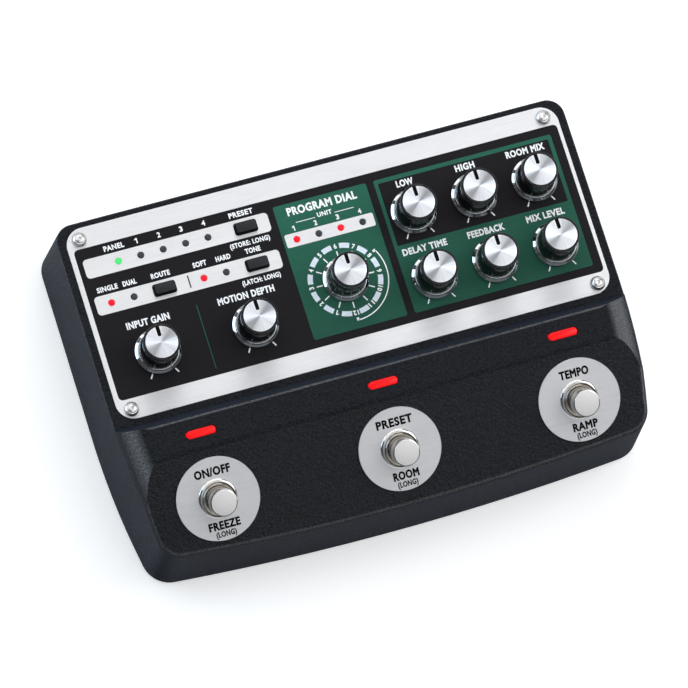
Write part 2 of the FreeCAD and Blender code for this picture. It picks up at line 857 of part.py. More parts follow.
def make_lamps():
    """Round status lamps: light pipes with bevelled tops, standing on the panel board."""
    low = panel_board_z + board_thickness - panel_height
    pipe = lathe([
        (0, low, 0),
        (lamp_radius + lamp_flange, low, 0),
        (lamp_radius + lamp_flange, -plate_thickness - flange_gap, 0),
        (lamp_radius, -plate_thickness - flange_gap, 0),
        (lamp_radius, lamp_rise - lamp_chamfer, 0),
        (lamp_radius - lamp_chamfer, lamp_rise, 0),
        (0, lamp_rise, 0),
    ])
    return [pipe.translated(V(x, y, panel_height)) for x, y in lamp_places()]


def tact_top():
    """Height of the top of a small switch's plunger."""
    return panel_board_z + board_thickness + tact_height + tact_plunger_height


def make_button():
    """Button cap at x = y = 0: head, retaining flange and stem down to its switch."""
    corner = button_corner_radius
    top = panel_height + button_rise
    flange_top = plate_bottom_z - flange_gap
    head = rounded_box(button_width, button_depth, corner, flange_top, top)
    head = bevel(head, button_bevel, lambda p: abs(p.z - top) < 0.01)
    flange = rounded_box(button_width + 2 * button_flange, button_depth + 2 * button_flange, corner,
                         flange_top - button_flange_thickness, flange_top)
    stem = cylinder(tact_plunger_radius, tact_top() + button_travel + flange_gap, flange_top)
    return fuse_all([head, flange, stem])


def make_tact_switches():
    """Three small switches under the buttons."""
    low = panel_board_z + board_thickness
    switches = []
    for _, x, y in button_places:
        half = tact_width / 2
        body = box(x - half, x + half, y - half, y + half, low, low + tact_height)
        switches.append(body.fuse(cylinder(tact_plunger_radius, low + tact_height, tact_top(), x, y)))
    return switches


def make_footswitch():
    """Threaded bushing and body of one footswitch, on the plateau at z = 0."""
    half_w, half_d = switch_body_width / 2, switch_body_depth / 2
    body = box(-half_w, half_w, -half_d, half_d, -wall - switch_body_length, -wall)
    bushing = cylinder(bushing_radius, -wall - overrun, disc_thickness + bushing_rise)
    floor = -plunger_inside - plunger_travel - bore_floor_gap
    rim = disc_thickness + bushing_rise
    bore = cylinder(plunger_radius + bore_clearance, floor, rim + overrun)
    switch = body.fuse(bushing)
    switch = bevel(switch, plunger_chamfer, lambda p: abs(p.z - rim) < 0.01)
    return switch.cut(bore)


def make_plunger():
    """Push rod of a footswitch with its flat, chamfered top."""
    top = disc_thickness + plunger_rise
    return lathe([
        (0, -plunger_inside, 0),
        (plunger_radius, -plunger_inside, 0),
        (plunger_radius, top - plunger_chamfer, 0),
        (plunger_radius - plunger_chamfer, top, 0),
        (0, top, 0),
    ])


def make_switch_nut():
    """Round bright nut of a footswitch, with a raised outer bead and a dished face."""
    inner = bushing_radius + bushing_clearance
    low = disc_thickness
    high = low + nut_height
    return lathe([
        (inner, low, 0),
        (nut_radius, low, 0),
        (nut_radius, high - nut_bevel, 0),
        (nut_radius - nut_bevel, high, 0),
        (nut_radius - nut_bevel - nut_bead, high, 0),
        (inner, high - nut_dish, 0),
    ])


def make_switch_disc():
    """Printed aluminium disc under the nut."""
    disc = cylinder(disc_radius, 0, disc_thickness)
    return disc.cut(cylinder(bushing_radius + bushing_clearance, -overrun, overrun))


def make_indicator_lens(x):
    """Red bar lens with its flange under the case wall."""
    under = hump_z - wall
    head = slot(indicator_width, indicator_depth, under, hump_z + indicator_rise, x, indicator_y)
    flange = rounded_box(indicator_width + 2 * indicator_flange, indicator_depth + 2 * indicator_flange,
                         indicator_flange_radius, under - indicator_flange_thickness, under, x, indicator_y)
    return fuse_all([head, flange])


def make_indicator_board():
    """Strip board that carries the bar lamps under the hump."""
    high = hump_z - wall - indicator_flange_thickness
    low = high - indicator_board_thickness
    strip = box(-indicator_board_half, indicator_board_half,
                indicator_y - indicator_board_depth / 2, indicator_y + indicator_board_depth / 2, low, high)
    holes = [cylinder(board_screw_radius + clearance, low - overrun, high + overrun, x, indicator_y)
             for x in (-indicator_boss_x, indicator_boss_x)]
    return strip.cut(holes)


def make_base_plate():
    """Steel base in the case's rabbet, with standoffs for the main board."""
    inset = base_rabbet + clearance
    plate = Part.Face(plan_outline(inset, base_z)).extrude(V(0, 0, base_thickness))
    studs = [cylinder(standoff_radius, base_z, main_board_z, x, y) for x, y in standoff_places()]
    plate = fuse_all([plate] + studs)
    screw_end = main_board_z + board_thickness - standoff_screw_length
    holes = [cylinder(board_screw_radius + pilot_clearance, screw_end - pilot_extra,
                      main_board_z + overrun, x, y) for x, y in standoff_places()]
    for x, y in base_screw_places():
        holes.append(countersunk_head(clearance).translated(V(x, y, base_z)))
        holes.append(cylinder(base_screw_radius + clearance, base_z, base_top_z + overrun, x, y))
    return plate.cut(holes)


def countersunk_head(grow):
    """Cone of a countersunk head, its flat face at z = 0 underneath."""
    return Part.makeCone(base_screw_head_radius + grow, base_screw_radius + grow, base_thickness,
                         V(0, 0, 0))


def make_base_screws():
    """Countersunk screws of the base plate."""
    screw = countersunk_head(0).fuse(cylinder(base_screw_radius, 0, base_screw_length)).removeSplitter()
    return [screw.translated(V(x, y, base_z)) for x, y in base_screw_places()]


def make_rubber_feet():
    """Four flat rubber feet under the base plate."""
    foot = lathe([
        (0, 0, 0),
        (foot_radius - rubber_foot_bevel, 0, 0),
        (foot_radius, rubber_foot_bevel, 0),
        (foot_radius, foot_height, 0),
        (0, foot_height, 0),
    ])
    foot_x = half_width - rubber_foot_inset
    places = [(side * foot_x, y) for y in (rubber_foot_rear, rubber_foot_front) for side in (-1, 1)]
    return [foot.translated(V(x, y, 0)) for x, y in places]


def make_main_board():
    """Main board behind the jacks, on the base plate's standoffs."""
    rear = jack_inner_y - board_wall_gap
    middle = (main_board_front + rear) / 2
    board = rounded_box(2 * main_board_half, rear - main_board_front, board_corner_radius,
                        main_board_z, main_board_z + board_thickness, 0, middle)
    holes = [cylinder(board_screw_radius + clearance, main_board_z - overrun,
                      main_board_z + board_thickness + overrun, x, y)
             for x, y in standoff_places()]
    return board.cut(holes)


def pan_head_screw(length):
    """Pan-head board screw, its seat at z = 0, pointing down."""
    head = lathe([
        (0, 0, 0),
        (board_screw_head_radius, 0, 0),
        (board_screw_head_radius - board_screw_head_bevel, board_screw_head_height, 0),
        (0, board_screw_head_height, 0),
    ])
    return fuse_all([head, cylinder(board_screw_radius, -length, 0)])


def make_board_screws():
    """Screws of the boards: up from below into the case's bosses, down into the standoffs."""
    up = FreeCAD.Rotation(V(1, 0, 0), 180)
    strip_z = hump_z - wall - indicator_flange_thickness - indicator_board_thickness
    boss_screw = pan_head_screw(board_screw_length)
    standoff_screw = pan_head_screw(standoff_screw_length)
    strip_screw = pan_head_screw(indicator_board_thickness + indicator_screw_bite)
    screws = [placed(boss_screw, FreeCAD.Placement(V(x, y, panel_board_z), up))
              for x, y in panel_boss_places()]
    screws += [standoff_screw.translated(V(x, y, main_board_z + board_thickness))
               for x, y in standoff_places()]
    screws += [placed(strip_screw, FreeCAD.Placement(V(x, indicator_y, strip_z), up))
               for x in (-indicator_boss_x, indicator_boss_x)]
    return screws


def make_phone_jack(x):
    """Quarter-inch jack: body on the main board, flatted bushing through the rear wall."""
    half = jack_body_width / 2
    low = jack_height - jack_body_height / 2
    body = box(x - half, x + half, jack_inner_y - jack_body_length, jack_inner_y,
               low, low + jack_body_height)
    bushing = double_d(jack_bushing_radius, jack_bushing_flat, jack_inner_y - overrun, jack_tip_y,
                       x, jack_height)
    bore = level_cylinder(jack_bore_radius, jack_tip_y - jack_bore_depth, jack_tip_y + overrun,
                          x, jack_height)
    return fuse_all([body, bushing]).cut(bore)


def make_jack_nuts():
    """Hexagonal nuts on the jacks' bushings."""
    nuts = []
    for _, x in phone_jacks:
        nut = hexagon(jack_nut_flat, jack_face_y, jack_face_y + jack_nut_thickness, x, jack_height)
        hole = double_d(jack_bushing_radius + jack_bushing_clearance,
                        jack_bushing_flat + jack_bushing_clearance,
                        jack_face_y - overrun, jack_face_y + jack_nut_thickness + overrun, x, jack_height)
        nuts.append(nut.cut(hole))
    return nuts


def make_mini_jacks():
    """Two 3.5 mm jacks on the main board."""
    jacks = []
    low = main_board_z + board_thickness
    middle = low + mini_jack_body / 2
    for x in mini_jack_places():
        half = mini_jack_body / 2
        body = box(x - half, x + half, jack_inner_y - mini_jack_length, jack_inner_y,
                   low, low + mini_jack_body)
        nose = mini_nose(x, 0, jack_inner_y - overrun, jack_face_y)
        bore = level_cylinder(mini_jack_bore_radius, jack_face_y - mini_jack_bore_depth,
                              jack_face_y + overrun, x, middle)
        jacks.append(fuse_all([body, nose]).cut(bore))
    return jacks


def make_usb_socket():
    """Small data socket: a folded steel shell with its tongue."""
    middle = usb_bottom() + usb_height / 2
    shell = rounded_socket(0, usb_length, 0)
    hollow = rounded_socket(usb_shell, usb_length - usb_shell, overrun)
    tongue = box(usb_x - usb_tongue_width / 2, usb_x + usb_tongue_width / 2,
                 jack_face_y - usb_length, jack_face_y - usb_tongue_gap,
                 middle - usb_tongue_thickness / 2, middle + usb_tongue_thickness / 2)
    return fuse_all([shell.cut(hollow), tongue])


def rounded_socket(inset, length, past):
    """Bar of the data socket's section with sloping lower corners, running past the rear face."""
    low = usb_bottom() + inset
    high = usb_bottom() + usb_height - inset
    half = usb_width / 2 - inset
    cut = usb_height / 3
    left = [(-half, high), (-half, low + cut), (-half + cut, low)]
    points = left + [(-a, b) for a, b in reversed(left)]
    wire = Part.makePolygon([V(usb_x + a, jack_face_y - length, b) for a, b in points + points[:1]])
    return Part.Face(wire).extrude(V(0, length + past, 0))


def make_dc_jack():
    """Barrel socket for the power supply, with its centre pin."""
    low = main_board_z + board_thickness
    middle = low + dc_height / 2
    half = dc_width / 2
    body = box(dc_x - half, dc_x + half, jack_inner_y - dc_length, jack_inner_y, low, low + dc_height)
    front = dc_mouth(0, jack_inner_y - overrun, jack_face_y)
    mouth = level_cylinder(dc_mouth_radius, jack_face_y - dc_depth, jack_face_y + overrun, dc_x, middle)
    pin = level_cylinder(dc_pin_radius, jack_face_y - dc_depth - overrun, jack_face_y - dc_pin_gap,
                         dc_x, middle)
    return fuse_all([fuse_all([body, front]).cut(mouth), pin])


def save(name, shape):
    """Write one node, a single solid or a group of solids."""
    if isinstance(shape, list):
        shape = Part.makeCompound(shape)
    shape.exportStep("parts/" + name + ".step")


def main():
    """Build and write every node."""
    os.makedirs("parts", exist_ok=True)
    save("top_case", make_case())
    save("face_plate", make_face_plate())
    save("face_plate_screws", make_plate_screws())
    save("panel_board", make_panel_board())
    save("pots", make_pots())
    save("status_lamps", make_lamps())
    save("tact_switches", make_tact_switches())
    save("base_plate", make_base_plate())
    save("base_screws", make_base_screws())
    save("rubber_feet", make_rubber_feet())
    save("main_board", make_main_board())
    save("board_screws", make_board_screws())
    save("jack_nuts", make_jack_nuts())
    save("mini_jacks", make_mini_jacks())
    save("usb_socket", make_usb_socket())
    save("dc_jack", make_dc_jack())
    save("indicator_board", make_indicator_board())
    save("indicator_lenses", [make_indicator_lens(x) for x in switch_places()])
    save("switch_discs", [placed(make_switch_disc(), foot_place(x)) for x in switch_places()])
    save("switch_nuts", [placed(make_switch_nut(), foot_place(x)) for x in switch_places()])
    save("footswitch_bodies", [placed(make_footswitch(), foot_place(x)) for x in switch_places()])
    for name, x in phone_jacks:
        save(name, make_phone_jack(x))
    for name, x in zip(("left", "middle", "right"), switch_places()):
        save("plunger_" + name, placed(make_plunger(), foot_place(x)))
    for name, x, y in button_places:
        save(name, make_button().translated(V(x, y, 0)))
    knob, trim, shaft = make_knob(), make_knob_trim(), make_knob_shaft()
    for name, x, y in knob_places:
        place = V(x, y, panel_height)
        save("knob_" + name, knob.translated(place))
        save("trim_" + name, [piece.translated(place) for piece in trim])
        save("shaft_" + name, shaft.translated(place))


main()
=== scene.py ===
"""Finishes, printed detail, lights and camera for a tape echo pedal with three footswitches.

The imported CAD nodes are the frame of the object. Shapes that need finer edges,
two finishes or a printed face are modelled here and stand for their nodes.
Sizes are millimetres until a piece is handed over, which turns it to metres.
"""
import logging
import math
from dataclasses import dataclass, field
from enum import Enum

import bmesh
import bpy
from mathutils import Euler, Matrix, Vector


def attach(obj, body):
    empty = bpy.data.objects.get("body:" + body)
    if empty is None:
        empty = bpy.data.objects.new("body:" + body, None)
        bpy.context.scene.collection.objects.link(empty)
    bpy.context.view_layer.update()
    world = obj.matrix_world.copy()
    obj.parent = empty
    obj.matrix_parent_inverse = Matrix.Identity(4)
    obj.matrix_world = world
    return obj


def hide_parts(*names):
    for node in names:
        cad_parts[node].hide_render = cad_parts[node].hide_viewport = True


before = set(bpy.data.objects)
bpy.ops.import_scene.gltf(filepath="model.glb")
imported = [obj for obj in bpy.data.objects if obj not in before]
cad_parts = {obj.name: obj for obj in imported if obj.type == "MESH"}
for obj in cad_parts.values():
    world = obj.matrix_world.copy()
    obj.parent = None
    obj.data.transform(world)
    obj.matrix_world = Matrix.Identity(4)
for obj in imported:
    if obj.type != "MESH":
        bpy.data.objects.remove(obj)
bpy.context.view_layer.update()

log = logging.getLogger("echo_pedal")

Tree = bpy.types.NodeTree
Socket = bpy.types.NodeSocket
Point = tuple[float, float]
# Left, right, front and back side of a rounded rectangle, and its corner radius
Patch = tuple[float, float, float, float, float]

MM = 0.001
# Height of the face plate's printed side over the ground
PANEL_TOP = 38.9
CASE_BODY = "case"
# Height of a capital in Blender's own typeface at size 1
LETTER_CAP = 0.682
# Merging distance for points that an operator leaves double
WELD = 0.0005
# Edges over the first angle get rounded, and those over the second are shaded as sharp
SHARP = math.radians(35)
SMOOTH = math.radians(38)
KNOB_PLACES: dict[str, Point] = {
    "saturation": (-71.0, 9.5),
    "wow_flutter": (-35.5, 9.5),
    "mode": (0.0, 17.1),
    "bass": (30.5, 34.2),
    "treble": (53.0, 34.2),
    "reverb": (75.5, 34.2),
    "rate": (30.5, 9.75),
    "intensity": (53.0, 9.75),
    "echo": (75.5, 9.75),
}
BUTTON_PLACES: dict[str, Point] = {
    "button_memory": (-28.25, 44.4),
    "button_input": (-62.1, 30.66),
    "button_tape": (-28.25, 30.66),
}


def linear(hex_code: str) -> tuple[float, float, float, float]:
    """Turn an sRGB hex colour into the linear colour that shaders take.

    Args:
        hex_code: colour as "#rrggbb".

    Returns:
        Linear red, green and blue, and an alpha of one.
    """
    channels = [int(hex_code[place:place + 2], 16) / 255 for place in (1, 3, 5)]
    red, green, blue = [c / 12.92 if c <= 0.04045 else ((c + 0.055) / 1.055) ** 2.4 for c in channels]
    return (red, green, blue, 1.0)


def per_metre(size_mm: float) -> float:
    """Return the texture scale that repeats a pattern once in size_mm."""
    return 1.0 / (size_mm * MM)


def add_node(tree: Tree, kind: str, inputs: dict | None = None,
             stops: list[tuple[float, tuple]] | None = None, **settings: object) -> bpy.types.Node:
    """Add a node with its settings, its fixed values and its links.

    Args:
        tree: node tree that gets the node.
        kind: Blender's type name of the node.
        inputs: a value or an output socket for each input, by its name or number.
        stops: places and colours of a colour ramp.
        settings: properties set on the node itself.

    Returns:
        The new node.
    """
    node = tree.nodes.new(kind)
    for name, value in settings.items():
        setattr(node, name, value)
    for name, value in (inputs or {}).items():
        if isinstance(value, Socket):
            tree.links.new(value, node.inputs[name])
        else:
            node.inputs[name].default_value = value
    if stops:
        ramp = node.color_ramp
        while len(ramp.elements) < len(stops):
            ramp.elements.new(1.0)
        for element, (place, colour) in zip(ramp.elements, stops):
            element.position = place
            element.color = colour
    return node


# Finishes

@dataclass(frozen=True)
class Finish:
    """A named surface. Each kind of finish shades itself on an empty node tree."""

    name: str

    def shade(self, tree: Tree) -> Socket:
        """Add the finish's nodes.

        Args:
            tree: empty node tree of the material.

        Returns:
            The shader output that feeds the surface.
        """
        raise NotImplementedError

    def make(self) -> bpy.types.Material:
        """Make the material the first time it is asked for.

        Returns:
            The material of this finish.
        """
        material = bpy.data.materials.get(self.name)
        if material is None:
            material = bpy.data.materials.new(self.name)
            material.use_nodes = True
            material.node_tree.nodes.clear()
            surface = self.shade(material.node_tree)
            add_node(material.node_tree, "ShaderNodeOutputMaterial", {"Surface": surface})
        return material


@dataclass(frozen=True)
class PatternedFinish(Finish):
    """A finish whose patterns move its colour, its roughness and its relief.

    The roughness changes by uneven while its pattern goes through window, and
    relief_mm is the depth of a bump whose strength is bump.
    """

    roughness: float = 0.3
    uneven: tuple[float, float] = (0.0, 0.08)
    window: tuple[float, float] = (0.3, 0.7)
    relief_mm: float = 0.004
    bump: float = 1.0

    def textured(self, tree: Tree, tint: Socket, colours: tuple[str, str], fleck: Socket,
                 height: Socket) -> dict[str, Socket]:
        """Add the nodes that turn patterns into colour, roughness and relief.

        Args:
            tree: node tree of the material.
            tint: output that mixes the colours.
            colours: hex colours where tint is zero and one.
            fleck: output that moves the roughness.
            height: output that gives the relief.

        Returns:
            What the surface shader takes as Base Color, Roughness and Normal.
        """
        tone = add_node(tree, "ShaderNodeMix", {"Factor": tint, 6: linear(colours[0]), 7: linear(colours[1])},
                        data_type="RGBA")
        least, most = (self.roughness + change for change in self.uneven)
        gloss = add_node(tree, "ShaderNodeMapRange",
                         {"Value": fleck, "From Min": self.window[0], "From Max": self.window[1],
                          "To Min": least, "To Max": most})
        bump = add_node(tree, "ShaderNodeBump",
                        {"Strength": self.bump, "Distance": self.relief_mm * MM, "Height": height})
        return {"Base Color": tone.outputs[2], "Roughness": gloss.outputs[0], "Normal": bump.outputs[0]}


@dataclass(frozen=True)
class CastPaint(PatternedFinish):
    """Textured baked paint on a die-cast shell.

    Shrinking paint leaves pebbled cells about a millimetre wide. Their crowns
    catch a cool glint from the gloss and the bump, and are also painted
    lighter, a painted highlight; the creases between them are painted darker,
    painted shade. Seen along a wall, the texture scatters the light and leaves
    a dull slate haze. Hands have rubbed the rounded edges glossier, at the
    right and the back most.
    """

    # colour goes in the creases and crown on the crowns: painted shade and a painted highlight
    colour: str = "#030406"
    crown: str = "#15181f"
    haze_colour: str = "#7088b2"
    haze: float = 0.1
    cell_mm: float = 0.95
    speck_mm: float = 0.38
    drift_mm: float = 1.4
    bend_mm: float = 0.6
    relief_mm: float = 0.32
    roughness: float = 0.23
    uneven: tuple[float, float] = (-0.05, 0.1)
    dulled: float = 0.6
    sheen: float = 0.14
    rub: float = 1.0
    wall_rub: float = 0.16

    def shade(self, tree: Tree) -> Socket:
        """Add pebbled cells over a fine orange peel.

        Args:
            tree: empty node tree of the material.

        Returns:
            The shader output that feeds the surface.
        """
        place = add_node(tree, "ShaderNodeTexCoord").outputs["Object"]
        drift = add_node(tree, "ShaderNodeTexNoise",
                         {"Vector": place, "Scale": per_metre(self.drift_mm), "Detail": 2.0})
        bent = add_node(tree, "ShaderNodeVectorMath",
                        {0: drift.outputs["Color"], 1: (self.bend_mm * MM,) * 3, 2: place},
                        operation="MULTIPLY_ADD")
        cells = add_node(tree, "ShaderNodeTexVoronoi",
                         {"Vector": bent.outputs[0], "Scale": per_metre(self.cell_mm), "Smoothness": 0.5},
                         feature="SMOOTH_F1")
        specks = add_node(tree, "ShaderNodeTexNoise",
                          {"Vector": place, "Scale": per_metre(self.speck_mm), "Detail": 2.0,
                           "Roughness": 0.6}).outputs["Fac"]
        crown = add_node(tree, "ShaderNodeMath",
                         {0: cells.outputs["Distance"], 1: -0.8, 2: specks},
                         operation="MULTIPLY_ADD").outputs[0]
        # Crowns coloured lighter and creases darker: a painted highlight and painted shade
        lit = add_node(tree, "ShaderNodeMapRange", {"Value": crown, "From Min": -0.15, "From Max": 0.4})
        looks = self.textured(tree, lit.outputs[0], (self.colour, self.crown), specks, crown)
        facing = add_node(tree, "ShaderNodeLayerWeight", {"Blend": 0.5}).outputs["Facing"]
        scatter = add_node(tree, "ShaderNodeMapRange",
                           {"Value": facing, "From Min": 0.3, "From Max": 0.62, "To Max": self.dulled})
        rough = add_node(tree, "ShaderNodeMath", {0: looks["Roughness"], 1: scatter.outputs[0]},
                         operation="ADD")
        paint = add_node(tree, "ShaderNodeBsdfPrincipled",
                         {"Base Color": looks["Base Color"], "Roughness": rough.outputs[0],
                          "Normal": looks["Normal"], "IOR": 1.5, "Specular IOR Level": self.sheen,
                          "Coat Weight": self._rubbed(tree), "Coat Roughness": 0.14, "Coat IOR": 1.75,
                          "Coat Normal": looks["Normal"], "Sheen Weight": self.haze, "Sheen Roughness": 0.5,
                          "Sheen Tint": linear(self.haze_colour)})
        return paint.outputs[0]

    def _rubbed(self, tree: Tree) -> Socket:
        """Find the rounded edges by the way that the surface faces.

        Args:
            tree: node tree of the material.

        Returns:
            How glossy the paint is rubbed: most at the edges, a little on the walls.
        """
        way = add_node(tree, "ShaderNodeSeparateXYZ",
                       {"Vector": add_node(tree, "ShaderNodeTexCoord").outputs["Normal"]}).outputs
        edge = add_node(tree, "ShaderNodeMapRange",
                        {"Value": self._widest(tree, way, ("X", 1.0), ("X", -0.6), ("Y", 1.0), ("Y", -0.5)),
                         "From Min": 0.18, "From Max": 0.34, "To Max": self.rub})
        upward = add_node(tree, "ShaderNodeMapRange", {"Value": way["Z"], "From Min": 0.55, "From Max": 0.82})
        wall = add_node(tree, "ShaderNodeMapRange",
                        {"Value": self._widest(tree, way, ("X", 1.0), ("X", -1.0), ("Y", -0.9)),
                         "From Min": 0.7, "From Max": 1.0, "To Max": self.wall_rub * self.rub})
        rubbed = add_node(tree, "ShaderNodeMath",
                          {0: edge.outputs[0], 1: upward.outputs[0], 2: wall.outputs[0]},
                          operation="MULTIPLY_ADD")
        return rubbed.outputs[0]

    @staticmethod
    def _widest(tree: Tree, way: bpy.types.bpy_prop_collection, *sides: tuple[str, float]) -> Socket:
        """Take the largest of several parts of the surface's direction.

        Args:
            tree: node tree of the material.
            way: outputs X, Y and Z of the direction.
            sides: an output's name and its share, for each part.

        Returns:
            The largest part, each taken times its share.
        """
        widest = None
        for axis, share in sides:
            part = add_node(tree, "ShaderNodeMath", {0: way[axis], 1: share}, operation="MULTIPLY").outputs[0]
            widest = part if widest is None else add_node(tree, "ShaderNodeMath", {0: widest, 1: part},
                                                          operation="MAXIMUM").outputs[0]
        return widest


@dataclass(frozen=True)
class BrushedSheet(PatternedFinish):
    """Rolled aluminium sheet, brushed along the panel's width and clear lacquered.

    The grooves spread a lamp's image across them, which gives long soft bands
    of grey in an almost white face. Real grooves are about 0.03 mm apart; they
    are drawn at groove_mm so that they show.
    """

    colour: str = "#f3f3f3"
    shade_colour: str = "#dddfe3"
    groove_mm: float = 0.2
    streak_mm: float = 9.0
    relief_mm: float = 0.002
    bump: float = 0.6
    roughness: float = 0.48
    uneven: tuple[float, float] = (-0.06, 0.08)
    grain: float = 0.85

    def shade(self, tree: Tree) -> Socket:
        """Add streaks along X with an anisotropic gloss.

        Args:
            tree: empty node tree of the material.

        Returns:
            The shader output that feeds the surface.
        """
        place = add_node(tree, "ShaderNodeTexCoord").outputs["Object"]
        stretched = add_node(tree, "ShaderNodeMapping",
                             {"Vector": place, "Scale": (self.groove_mm / self.streak_mm, 1.0, 1.0)})
        grooves = add_node(tree, "ShaderNodeTexNoise",
                           {"Vector": stretched.outputs[0], "Scale": per_metre(self.groove_mm), "Detail": 3.0,
                            "Roughness": 0.7}).outputs["Fac"]
        looks = self.textured(tree, grooves, (self.colour, self.shade_colour), grooves, grooves)
        along = add_node(tree, "ShaderNodeVectorTransform", {"Vector": (1.0, 0.0, 0.0)},
                         vector_type="VECTOR", convert_from="OBJECT", convert_to="WORLD")
        metal = add_node(tree, "ShaderNodeBsdfPrincipled",
                         {**looks, "Metallic": 1.0, "Anisotropic": self.grain, "Anisotropic Rotation": 0.25,
                          "Tangent": along.outputs[0]})
        return metal.outputs[0]


@dataclass(frozen=True)
class SpunMetal(PatternedFinish):
    """Aluminium faced on a lathe, with fine rings around the piece's axis.

    The rings smear each lamp outwards from the middle, so light and dark fans
    turn about the centre. The piece carries its own coordinates in the UV map
    "turned", in millimetres from its axis. Rings are drawn at ring_mm, wider
    than the 0.05 mm feed of a real facing cut, so that they show. Narrow
    sectors of the metal are coloured darker, at the same angles on every cap.
    """

    colour: str = "#e2e5ea"
    sector_colour: str = "#c6c9cf"
    ring_mm: float = 0.14
    relief_mm: float = 0.002
    bump: float = 0.5
    roughness: float = 0.31
    uneven: tuple[float, float] = (-0.03, 0.03)
    grain: float = 0.96

    def shade(self, tree: Tree) -> Socket:
        """Add rings about the axis with an anisotropic gloss.

        Args:
            tree: empty node tree of the material.

        Returns:
            The shader output that feeds the surface.
        """
        place = add_node(tree, "ShaderNodeUVMap", uv_map="turned").outputs[0]
        radius = add_node(tree, "ShaderNodeVectorMath", {0: place}, operation="LENGTH").outputs["Value"]
        rings = add_node(tree, "ShaderNodeTexNoise",
                         {"W": radius, "Scale": 1.0 / self.ring_mm, "Detail": 2.0, "Roughness": 0.7},
                         noise_dimensions="1D").outputs["Fac"]
        way = add_node(tree, "ShaderNodeVectorMath", {0: place}, operation="NORMALIZE")
        # Sectors coloured darker, at the same angles on every cap
        sector_noise = add_node(tree, "ShaderNodeTexNoise",
                           {"Vector": way.outputs[0], "Scale": 3.4, "Detail": 1.0, "Roughness": 0.5})
        sector = add_node(tree, "ShaderNodeMapRange",
                          {"Value": sector_noise.outputs["Fac"], "From Min": 0.48, "From Max": 0.9})
        looks = self.textured(tree, sector.outputs[0], (self.colour, self.sector_colour), rings, rings)
        around = add_node(tree, "ShaderNodeVectorMath", {0: (0.0, 0.0, 1.0), 1: place},
                          operation="CROSS_PRODUCT")
        along = add_node(tree, "ShaderNodeVectorTransform", {"Vector": around.outputs[0]},
                         vector_type="VECTOR", convert_from="OBJECT", convert_to="WORLD")
        metal = add_node(tree, "ShaderNodeBsdfPrincipled",
                         {**looks, "Metallic": 1.0, "Anisotropic": self.grain, "Anisotropic Rotation": 0.25,
                          "Tangent": along.outputs[0]})
        return metal.outputs[0]


@dataclass(frozen=True)
class PlatedMetal(PatternedFinish):
    """Polished or dull plating over brass or steel, clouded a little by handling.

    A low roughness gives sharp reflections as on chrome; a higher and more
    uneven one gives the soft sheen of zinc or satin nickel.
    """

    colour: str = "#e9eaec"
    haze_colour: str = "#cfd2d6"
    roughness: float = 0.07
    uneven: tuple[float, float] = (0.0, 0.06)
    window: tuple[float, float] = (0.35, 0.7)
    haze_mm: float = 1.6
    wave_mm: float = 1.8

    def shade(self, tree: Tree) -> Socket:
        """Add clouds and a slow waviness to a mirror metal.

        Args:
            tree: empty node tree of the material.

        Returns:
            The shader output that feeds the surface.
        """
        place = add_node(tree, "ShaderNodeTexCoord").outputs["Object"]
        cloud = add_node(tree, "ShaderNodeTexNoise",
                         {"Vector": place, "Scale": per_metre(self.haze_mm), "Detail": 4.0,
                          "Roughness": 0.6}).outputs["Fac"]
        waves = add_node(tree, "ShaderNodeTexNoise",
                         {"Vector": place, "Scale": per_metre(self.wave_mm), "Detail": 1.0, "Roughness": 0.4})
        looks = self.textured(tree, cloud, (self.colour, self.haze_colour), cloud, waves.outputs["Fac"])
        return add_node(tree, "ShaderNodeBsdfPrincipled", {**looks, "Metallic": 1.0}).outputs[0]


@dataclass(frozen=True)
class Moulding(PatternedFinish):
    """Moulded plastic or rubber, with the mould's spark-eroded grain.

    The grain's size and depth tell a glossy knob from a dull foot: gloss
    plastic shows only a faint ripple, rubber an even matte grain.
    """

    colour: str = "#0b0b0d"
    tone_colour: str = "#101013"
    roughness: float = 0.2
    grain_mm: float = 0.5
    bump: float = 0.7
    coat: float = 0.0
    sheen: float = 0.4

    def shade(self, tree: Tree) -> Socket:
        """Add grain to a dielectric.

        Args:
            tree: empty node tree of the material.

        Returns:
            The shader output that feeds the surface.
        """
        place = add_node(tree, "ShaderNodeTexCoord").outputs["Object"]
        grain = add_node(tree, "ShaderNodeTexNoise",
                         {"Vector": place, "Scale": per_metre(self.grain_mm), "Detail": 3.0,
                          "Roughness": 0.6}).outputs["Fac"]
        looks = self.textured(tree, grain, (self.colour, self.tone_colour), grain, grain)
        plastic = add_node(tree, "ShaderNodeBsdfPrincipled",
                           {**looks, "IOR": 1.53, "Specular IOR Level": self.sheen, "Coat Weight": self.coat,
                            "Coat Roughness": 0.06})
        return plastic.outputs[0]


